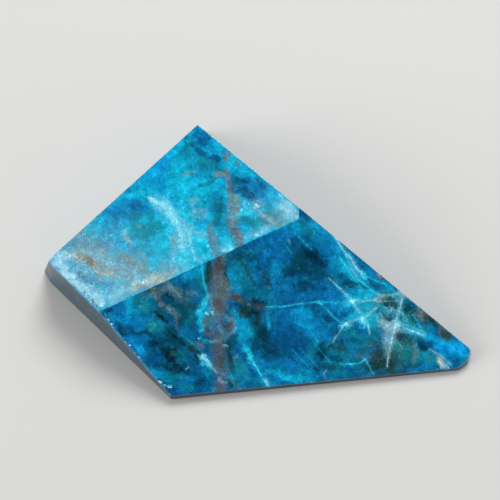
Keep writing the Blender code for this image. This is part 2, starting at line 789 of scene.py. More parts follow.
@dataclass(frozen=True)
class Vein:
    """A healed crack in a soft glow of its own tint, as a run of points.

    tint, strength: its colour, and how much it covers
    run: its points, each with half the vein's width there, in millimetres
    core_span, glow_span: from where to where its core and its glow come up, in half widths
    glow: how much the glow covers, as a share of the core
    """

    tint: Tint
    strength: float
    run: Tuple[Tuple[float, float, float], ...]
    core_span: ClassVar[Span] = (1.6, 0.3)
    glow_span: ClassVar[Span] = (5.5, 0.6)
    glow: ClassVar[float] = 0.22

    def lay(self, wiring: Wiring, under: bpy.types.NodeSocket, fields: Fields) -> bpy.types.NodeSocket:
        """Lay the vein over what is there.

        Args:
            wiring: the nodes of the region it belongs to.
            under: the colour so far.
            fields: the shared places and noises.

        Returns:
            The colour with the vein on it.
        """
        away = self.distance(wiring, fields.fray)
        core = wiring.span(away, *self.core_span, 0.0, self.strength, smooth=True)
        core = wiring.math("MULTIPLY", core, fields.patchy)
        glow = wiring.span(away, *self.glow_span, 0.0, self.glow * self.strength, smooth=True)
        return wiring.blend(wiring.math("MAXIMUM", core, glow), under, self.tint.rgba)

    def distance(self, wiring: Wiring, plan: bpy.types.NodeSocket) -> bpy.types.NodeSocket:
        """How far a place in plan lies from the run, in half widths."""
        nearest: Any = FAR_OFF
        for (x, y, start), (end_x, end_y, end) in zip(self.run, self.run[1:]):
            along = Vector((end_x - x, end_y - y))
            length = along.length
            inputs = {"Nearest": nearest, "Plan": plan, "Share": sheet_line(along / length ** 2, (x, y)),
                      "Across": sheet_line(along.orthogonal() / length, (x, y)),
                      "Length squared": length ** 2, "Start": start, "Growth": end - start}
            nearest = wiring.group(segment_group(), inputs).outputs["Nearest"]
        return nearest


@dataclass(frozen=True)
class Band(Vein):
    """A wider run of threads with ragged, feathered sides.

    torn: how far its sides are torn, in half widths
    """

    core_span: ClassVar[Span] = (1.7, 0.3)
    torn: ClassVar[float] = 0.7

    def lay(self, wiring: Wiring, under: bpy.types.NodeSocket, fields: Fields) -> bpy.types.NodeSocket:
        """Lay the band over what is there, and hand back the colour with it."""
        away = wiring.math("MULTIPLY_ADD", fields.ragged, self.torn, self.distance(wiring, fields.drift))
        threads = wiring.math("MULTIPLY", fields.fibre, self.strength)
        cover = wiring.span(away, *self.core_span, 0.0, threads, smooth=True)
        return wiring.blend(cover, under, self.tint.rgba)


@dataclass(frozen=True)
class Region:
    """The marks of one part of the stone, laid one over another in a node group of their own."""

    name: str
    marks: Tuple[Any, ...]

    def lay(self, wiring: Wiring, under: bpy.types.NodeSocket, fields: Fields) -> bpy.types.NodeSocket:
        """Lay the region's marks over what is there.

        Args:
            wiring: the material's nodes.
            under: the colour so far.
            fields: the shared places and noises.

        Returns:
            The colour with the marks on it.
        """
        if self.name not in bpy.data.node_groups:
            inputs = (("Under", "Color"),) + FIELD_SOCKETS
            inside, given, result = new_group(self.name, inputs, (("Colour", "Color"),))
            own = Fields.from_sockets(given)
            colour = given["Under"]
            for mark in self.marks:
                colour = mark.lay(inside, colour, own)
            inside.feed(result["Colour"], colour)
        inputs = {"Under": under, **fields.as_inputs()}
        return wiring.group(bpy.data.node_groups[self.name], inputs).outputs["Colour"]


def sheet_line(way: Sequence[float], start: Sequence[float]) -> Vector:
    """A sum of the plan's two directions that is zero at one place.

    Args:
        way: how much it grows for each millimetre along +X and +Y.
        start: the place in plan where it is zero.

    Returns:
        The vector whose dot product with a place in plan, (x, y, 1), is that sum.
    """
    return Vector((way[0], way[1], -way[0] * start[0] - way[1] * start[1]))


def cloud_group() -> bpy.types.NodeTree:
    """The nodes that lay one cloud, built once."""
    name = "mineral cloud"
    if name in bpy.data.node_groups:
        return bpy.data.node_groups[name]
    inputs = (("Under", "Color"), ("Plan", "Vector"), ("Ragged", "Float"), ("Torn", "Float"),
              ("Lengthways", "Vector"), ("Sideways", "Vector"), ("Outer", "Float"), ("Inner", "Float"),
              ("Tint", "Color"), ("Strength", "Float"))
    wiring, given, result = new_group(name, inputs, (("Colour", "Color"),))
    length = wiring.vector("DOT_PRODUCT", given["Plan"], given["Lengthways"])
    width = wiring.vector("DOT_PRODUCT", given["Plan"], given["Sideways"])
    squares = wiring.math("MULTIPLY_ADD", length, length, wiring.math("MULTIPLY", width, width))
    away = wiring.math("MULTIPLY_ADD", given["Ragged"], given["Torn"], wiring.math("SQRT", squares))
    cover = wiring.span(away, given["Outer"], given["Inner"], 0.0, given["Strength"], smooth=True)
    wiring.feed(result["Colour"], wiring.blend(cover, given["Under"], given["Tint"]))
    return wiring.tree


def segment_group() -> bpy.types.NodeTree:
    """The nodes that measure how far a place lies from one stretch of a vein, in half widths, built once."""
    name = "vein stretch"
    if name in bpy.data.node_groups:
        return bpy.data.node_groups[name]
    inputs = (("Nearest", "Float"), ("Plan", "Vector"), ("Share", "Vector"), ("Across", "Vector"),
              ("Length squared", "Float"), ("Start", "Float"), ("Growth", "Float"))
    wiring, given, result = new_group(name, inputs, (("Nearest", "Float"),))
    share = wiring.vector("DOT_PRODUCT", given["Plan"], given["Share"])
    across = wiring.vector("DOT_PRODUCT", given["Plan"], given["Across"])
    within = wiring.held(share)
    past = wiring.math("SUBTRACT", share, within)
    squares = wiring.math("MULTIPLY_ADD", wiring.math("MULTIPLY", past, past), given["Length squared"],
                          wiring.math("MULTIPLY", across, across))
    half = wiring.math("MULTIPLY_ADD", within, given["Growth"], given["Start"])
    away = wiring.math("DIVIDE", wiring.math("SQRT", squares), half)
    wiring.feed(result["Nearest"], wiring.math("MINIMUM", given["Nearest"], away))
    return wiring.tree


def new_group(name: str, inputs: Sequence[Tuple[str, str]], outputs: Sequence[Tuple[str, str]]
              ) -> Tuple[Wiring, Dict[str, Any], Dict[str, Any]]:
    """Start a shader node group.

    Args:
        name: the group's name.
        inputs, outputs: the name and the kind (Float, Vector or Color) of each socket.

    Returns:
        The group's wiring, its inputs by name, and the sockets that its outputs take.
    """
    tree = bpy.data.node_groups.new(name, "ShaderNodeTree")
    for way, sockets in (("INPUT", inputs), ("OUTPUT", outputs)):
        for label, kind in sockets:
            tree.interface.new_socket(name=label, in_out=way, socket_type="NodeSocket" + kind)
    given = tree.nodes.new("NodeGroupInput")
    result = tree.nodes.new("NodeGroupOutput")
    return (Wiring(tree), {label: given.outputs[label] for label, _ in inputs},
            {label: result.inputs[label] for label, _ in outputs})


(PITCH, ABYSS, NAVY, COBALT, ROYAL, GENTIAN, AZURE, SKY, CYAN, TEAL, DEEP_TEAL, SEA, BOTTLE, OLIVE,
 MOSS, UMBER, RUST, BRICK, MAUVE, SLATE, GREY, HAZE, DUSK, TAN, CREAM, MILK, ICE, FROST, SNOW) = Tint

UPPER: Tuple[Region, ...] = (
    Region("upper table, washes", (
        Wash(-13.5, 21.0, 4.5, 3.6, -40, ROYAL, 0.5),
        Wash(-22.0, 17.0, 3.5, 7.0, -40, GENTIAN, 0.6),
        Wash(-12.0, 15.8, 5.5, 3.2, -15, TEAL, 0.75),
        Wash(-15.5, 11.4, 5.6, 3.2, 0, SKY, 0.4),
        Wash(-29.0, 5.6, 8.0, 3.2, 30, ROYAL, 0.5),
        Wash(-26.0, 1.0, 4.6, 3.8, -10, TEAL, 0.7),
        Wash(-21.8, -1.6, 3.4, 5.0, 10, SKY, 1.0),
        Wash(-17.0, -2.0, 4.0, 7.0, 0, CYAN, 0.6),
        Wash(-12.4, -1.6, 3.2, 4.2, 0, CYAN, 0.7),
        Wash(-8.4, 4.6, 3.0, 5.5, 0, TEAL, 0.45),
        Wash(-1.0, 10.5, 6.0, 3.4, -35, COBALT, 0.7),
        Wash(3.0, 3.2, 6.0, 2.4, 15, TEAL, 0.5),
        Wash(-2.0, 14.5, 4.0, 1.6, -38, AZURE, 0.6),
    )),
    Region("upper brown band", (
        Band(MAUVE, 1.0, ((-6.6, 14.8, 0.5), (-5.9, 12.0, 0.7), (-5.6, 9.5, 1.0), (-5.2, 6.5, 1.3),
                          (-5.0, 3.5, 1.3), (-5.2, 1.0, 1.2), (-4.4, -1.2, 1.1), (-3.7, -2.8, 0.9))),
        Wash(-5.2, 5.6, 1.6, 6.4, 2, GREY, 0.5),
        Wash(-9.6, -1.4, 1.2, 3.6, 8, HAZE, 0.4),
        Band(MAUVE, 0.65, ((-10.5, 3.2, 0.4), (-10.2, 0.0, 0.7), (-9.6, -2.0, 0.8), (-8.6, -4.6, 1.2))),
    )),
    Region("far corner", (
        Cloud(-12.5, 22.2, 3.2, 2.1, -10, COBALT, 0.85),
        Cloud(-15.5, 20.8, 1.8, 1.2, 40, TEAL, 0.8),
        Cloud(-13.0, 19.3, 3.0, 0.8, -35, NAVY, 0.7),
        Cloud(-16.5, 18.3, 3.0, 1.4, 10, TEAL, 0.55),
        Cloud(-21.0, 14.0, 1.4, 3.8, -8, ROYAL, 0.5),
        Cloud(-25.5, 12.5, 3.2, 1.8, 40, AZURE, 0.5),
        Cloud(-21.8, 11.0, 2.4, 1.4, 0, ROYAL, 0.6),
        Cloud(-18.4, 20.0, 0.8, 2.6, -45, SKY, 0.6),
        Cloud(-17.5, 13.4, 1.6, 4.2, 8, SKY, 0.8),
        Cloud(-28.5, 9.6, 5.0, 0.9, 12, SKY, 0.7),
        Cloud(-9.0, 20.8, 2.2, 1.0, -35, SKY, 0.7),
        Cloud(-11.0, 16.4, 4.0, 1.4, -20, TEAL, 0.7),
        Cloud(-9.2, 17.4, 1.5, 0.8, -15, COBALT, 0.9),
        Cloud(-5.0, 17.2, 2.2, 1.2, -40, SKY, 0.8),
        Cloud(-11.5, 12.0, 3.6, 0.45, 25, TEAL, 0.85),
        Cloud(-8.6, 4.5, 1.3, 4.5, 0, TEAL, 0.8),
        Cloud(-8.2, 6.5, 0.9, 2.4, 0, NAVY, 0.4),
    )),
    Region("behind the ridge end", (
        Cloud(-1.4, 9.8, 4.4, 2.2, -28, ROYAL, 0.7),
        Cloud(-2.6, 9.0, 3.2, 1.0, -25, NAVY, 0.7),
        Cloud(0.8, 11.4, 2.4, 1.0, -40, COBALT, 0.7),
        Cloud(-3.4, 12.4, 1.8, 0.6, -35, NAVY, 0.6),
        Cloud(-4.0, 11.8, 1.2, 1.0, 0, DEEP_TEAL, 0.6),
        Cloud(-1.6, 14.2, 2.0, 0.6, -38, SKY, 0.8),
        Cloud(3.6, 9.6, 2.0, 0.7, -50, AZURE, 0.8),
        Cloud(3.5, 8.0, 1.8, 0.9, -60, SKY, 0.7),
    )),
    Region("left of the swoosh", (
        Cloud(-31.0, 6.2, 3.6, 1.4, 35, ROYAL, 0.7),
        Cloud(-27.6, 6.6, 2.2, 1.3, 0, COBALT, 0.6),
        Cloud(-28.0, 4.6, 3.0, 0.8, 10, TEAL, 0.6),
        Cloud(-25.0, 0.8, 3.2, 2.2, -5, TEAL, 0.5),
        Cloud(-23.8, 2.4, 1.8, 1.0, -15, TEAL, 0.3),
        Cloud(-22.0, -5.0, 3.2, 2.4, 0, SKY, 0.8),
        Cloud(-12.2, -3.4, 1.9, 2.2, 0, SKY, 0.9),
        Cloud(-6.8, -2.2, 1.2, 2.0, 10, CYAN, 0.8),
        Cloud(-1.2, 2.6, 2.6, 1.1, 0, TEAL, 0.7),
        Cloud(-1.6, -0.4, 1.5, 0.9, 20, SKY, 0.8),
        Cloud(4.6, 6.0, 1.8, 0.9, -50, SKY, 0.8),
    )),
    Region("grey and tan blots", (
        Cloud(-6.8, 17.8, 0.9, 1.3, 10, MAUVE, 0.7),
        Cloud(-8.0, 13.8, 1.9, 0.6, -8, TAN, 0.7),
        Cloud(-6.4, 12.8, 0.7, 1.1, 30, GREY, 0.7),
        Cloud(-14.8, 14.0, 2.0, 0.35, 5, GREY, 0.7),
        Threads(-14.3, 7.9, 1.2, 0.9, 40, MILK, 0.5),
        Threads(-13.3, 5.2, 1.8, 1.2, -20, MILK, 0.4),
        Cloud(-26.2, 2.5, 0.9, 0.3, 15, TAN, 0.4),
        Cloud(3.4, 3.0, 2.8, 1.1, -22, GREY, 0.8),
        Cloud(5.2, 1.8, 1.8, 0.8, 20, GREY, 0.7),
        Cloud(-4.0, 16.2, 0.9, 0.5, -40, MAUVE, 0.5),
    )),
    Region("swoosh", (
        Wash(-16.8, 3.4, 2.6, 4.6, 30, CYAN, 0.7),
        Wash(-16.6, -0.5, 2.2, 3.6, 10, MILK, 0.55),
        Cloud(-20.4, 5.8, 4.0, 1.5, -50, CYAN, 0.6),
        Band(ICE, 0.95, ((-25.2, 9.2, 0.2), (-23.2, 8.2, 0.6), (-21.2, 6.8, 1.0), (-19.4, 4.8, 0.9),
                         (-18.0, 2.6, 0.6), (-17.4, 0.4, 0.4))),
        Vein(ICE, 0.9, ((-25.0, 9.1, 0.12), (-23.0, 8.2, 0.4), (-21.6, 7.0, 0.6), (-20.0, 5.4, 0.5),
                        (-18.6, 3.6, 0.25))),
        Web(-17.6, 1.4, 2.6, 4.4, 20, ICE, 0.3),
        Threads(-16.6, -1.6, 2.0, 4.4, 6, ICE, 0.3),
        Band(MILK, 0.7, ((-18.0, 4.4, 0.5), (-16.2, 2.4, 0.5), (-14.2, 1.2, 0.4), (-12.6, 0.4, 0.4),
                         (-10.8, -0.2, 0.3))),
        Threads(-18.6, -1.6, 1.0, 3.0, 0, HAZE, 0.9),
        Vein(ICE, 0.5, ((-17.0, 0.4, 0.2), (-16.8, -2.6, 0.2), (-17.2, -5.8, 0.15))),
        Vein(ICE, 0.6, ((-15.4, 0.2, 0.25), (-14.8, -3.0, 0.25), (-13.9, -5.4, 0.2),
                        (-12.6, -6.6, 0.15))),
        Threads(-18.8, -6.4, 0.9, 2.8, 0, MILK, 0.7),
        Cloud(-16.0, -5.5, 1.4, 2.2, 0, CYAN, 0.8),
    )),
    Region("pale marks by the ridge end", (
        Threads(-2.3, 6.4, 2.8, 1.4, -30, MILK, 0.35),
        Threads(-2.6, 4.2, 2.4, 0.6, 5, CYAN, 0.9),
        Web(-0.6, 5.6, 5.0, 3.0, -30, CYAN, 0.5),
        Vein(MILK, 0.8, ((-0.8, 7.2, 0.2), (0.2, 5.6, 0.35), (1.4, 4.1, 0.3), (3.0, 2.8, 0.2))),
        Threads(0.6, 6.8, 1.4, 0.9, 0, MILK, 0.5),
        Threads(1.2, 0.4, 2.6, 1.2, 20, MILK, 0.9),
        Wash(6.8, 4.6, 2.2, 3.8, 40, MILK, 0.85),
        Band(ICE, 0.7, ((5.0, 9.0, 0.15), (6.0, 7.4, 0.3), (7.4, 5.4, 0.5), (8.8, 3.6, 0.5))),
        Band(ICE, 0.6, ((6.6, 7.6, 0.2), (8.0, 6.0, 0.35), (9.4, 4.2, 0.4))),
        Vein(ICE, 0.7, ((5.4, 6.4, 0.1), (6.8, 4.8, 0.2), (8.0, 3.0, 0.15))),
        Cloud(-6.5, -3.6, 1.4, 0.5, 25, ICE, 0.6),
        Cloud(-3.2, 5.4, 0.5, 0.25, 20, ICE, 0.9),
        Cloud(-1.9, 5.9, 0.35, 0.2, 0, ICE, 0.9),
        Cloud(-0.2, 5.6, 0.3, 0.25, 0, ICE, 0.8),
        Cloud(0.4, 6.6, 0.6, 0.25, -30, SNOW, 0.8),
    )),
)

# Just under the upper table: the stone's own milky bloom, and partly a painted reflection of the pale sheen
# that the table mirrors, so it stops at the ridge
MILKY_BLOOM_AND_SHEEN: Tuple[Region, ...] = (
    Region("milky bloom, washes", (
        Wash(-38.0, -3.0, 9.5, 5.2, -28, HAZE, 0.8),
        Wash(-31.0, -8.2, 7.8, 4.4, -12, HAZE, 0.85),
        Wash(-34.5, 0.6, 5.0, 2.4, 35, DUSK, 0.75),
        Wash(-40.5, -9.5, 8.0, 2.8, -45, MILK, 0.85),
        Wash(-31.5, -13.0, 6.5, 2.4, 20, MILK, 0.75),
        Wash(-23.0, -10.0, 6.0, 1.7, 22, CREAM, 0.6),
        Wash(-38.5, -5.2, 4.0, 1.2, -22, TAN, 0.6),
        Wash(-17.5, -7.6, 3.0, 1.8, 22, MILK, 0.4),
        Wash(-8.0, -3.4, 14.0, 1.2, 20, MILK, 0.2),
    )),
    Region("milky bloom", (
        Cloud(-44.5, -4.4, 2.6, 1.8, 0, FROST, 0.7),
        Cloud(-43.2, -7.4, 3.6, 1.1, -46, FROST, 0.8),
        Cloud(-30.5, -4.4, 3.2, 0.8, -5, GREY, 0.6),
        Cloud(-28.4, -5.6, 2.4, 1.1, -20, TAN, 0.6),
        Cloud(-26.4, -7.2, 2.4, 0.8, -35, GREY, 0.7),
        Cloud(-28.5, -6.0, 0.8, 0.5, 0, UMBER, 0.5),
        Threads(-40.6, -4.6, 1.8, 0.7, -25, TAN, 0.9),
        Threads(-38.2, -5.5, 2.4, 0.8, -30, TAN, 1.0),
        Threads(-37.9, -5.6, 1.2, 0.5, -30, UMBER, 0.7),
        Threads(-34.8, -6.9, 2.6, 0.9, -14, TAN, 0.8),
        Vein(CREAM, 0.8, ((-44.6, -2.8, 0.15), (-42.4, -3.6, 0.2), (-41.2, -4.4, 0.15))),
        Vein(CREAM, 0.7, ((-37.0, -7.7, 0.15), (-35.0, -8.3, 0.25), (-33.0, -8.6, 0.25),
                          (-31.2, -9.2, 0.15))),
        Cloud(-38.6, -9.0, 3.2, 1.0, -30, DUSK, 1.0),
        Cloud(-35.8, -10.3, 2.6, 0.7, -10, DUSK, 0.7),
        Cloud(-42.8, -4.9, 0.9, 0.7, 0, DUSK, 0.6),
        Cloud(-31.0, -7.4, 1.4, 0.6, -10, DUSK, 0.5),
        Cloud(-40.2, -11.0, 3.8, 0.7, -46, FROST, 0.7),
        Cloud(-36.6, -14.0, 2.4, 1.1, -30, FROST, 0.5),
        Cloud(-25.2, -10.2, 2.4, 0.9, 20, CREAM, 0.7),
        Cloud(-25.8, -11.2, 1.4, 0.5, 20, TAN, 0.7),
        Cloud(-27.4, -12.0, 1.5, 0.5, 20, CREAM, 0.7),
        Cloud(-21.4, -9.4, 1.8, 0.6, 25, CREAM, 0.6),
        Cloud(-30.2, 0.8, 0.7, 1.6, -35, ICE, 0.5),
        Cloud(-29.0, -1.2, 1.4, 0.6, -40, CREAM, 0.5),
        Cloud(-33.0, 0.4, 0.7, 0.5, 0, CYAN, 0.9),
        Cloud(-40.3, 1.2, 0.9, 0.4, 40, TAN, 0.5),
        Web(-33.0, -7.0, 9.0, 4.0, -25, CREAM, 0.45),
        Web(-38.0, -10.0, 7.0, 2.6, -45, FROST, 0.5),
        Threads(-27.6, -5.8, 3.4, 2.4, -30, GREY, 0.6),
        Threads(-20.6, -7.6, 2.6, 2.4, 0, HAZE, 0.6),
        Cloud(-43.8, -8.3, 0.5, 0.2, -46, DUSK, 0.6),
        Cloud(-41.4, -10.6, 0.5, 0.2, -46, DUSK, 0.8),
        Cloud(-39.5, -12.2, 0.25, 0.4, -30, NAVY, 0.7),
        Cloud(-38.4, -13.4, 0.5, 0.2, -46, DUSK, 0.9),
        Cloud(-37.3, -14.4, 0.22, 0.5, -10, NAVY, 0.9),
        Cloud(-36.4, -15.6, 0.5, 0.2, -46, NAVY, 0.8),
        Cloud(-37.9, -14.8, 0.6, 0.2, -46, SNOW, 0.9),
        Vein(MILK, 0.7, ((-43.6, -1.8, 0.2), (-38.0, -3.6, 0.2), (-33.6, -5.8, 0.2), (-30.0, -8.6, 0.2))),
        Vein(MILK, 0.6, ((-36.6, -3.0, 0.2), (-31.6, -6.0, 0.25), (-27.4, -8.6, 0.2),
                         (-24.6, -10.2, 0.2))),
    )),
)

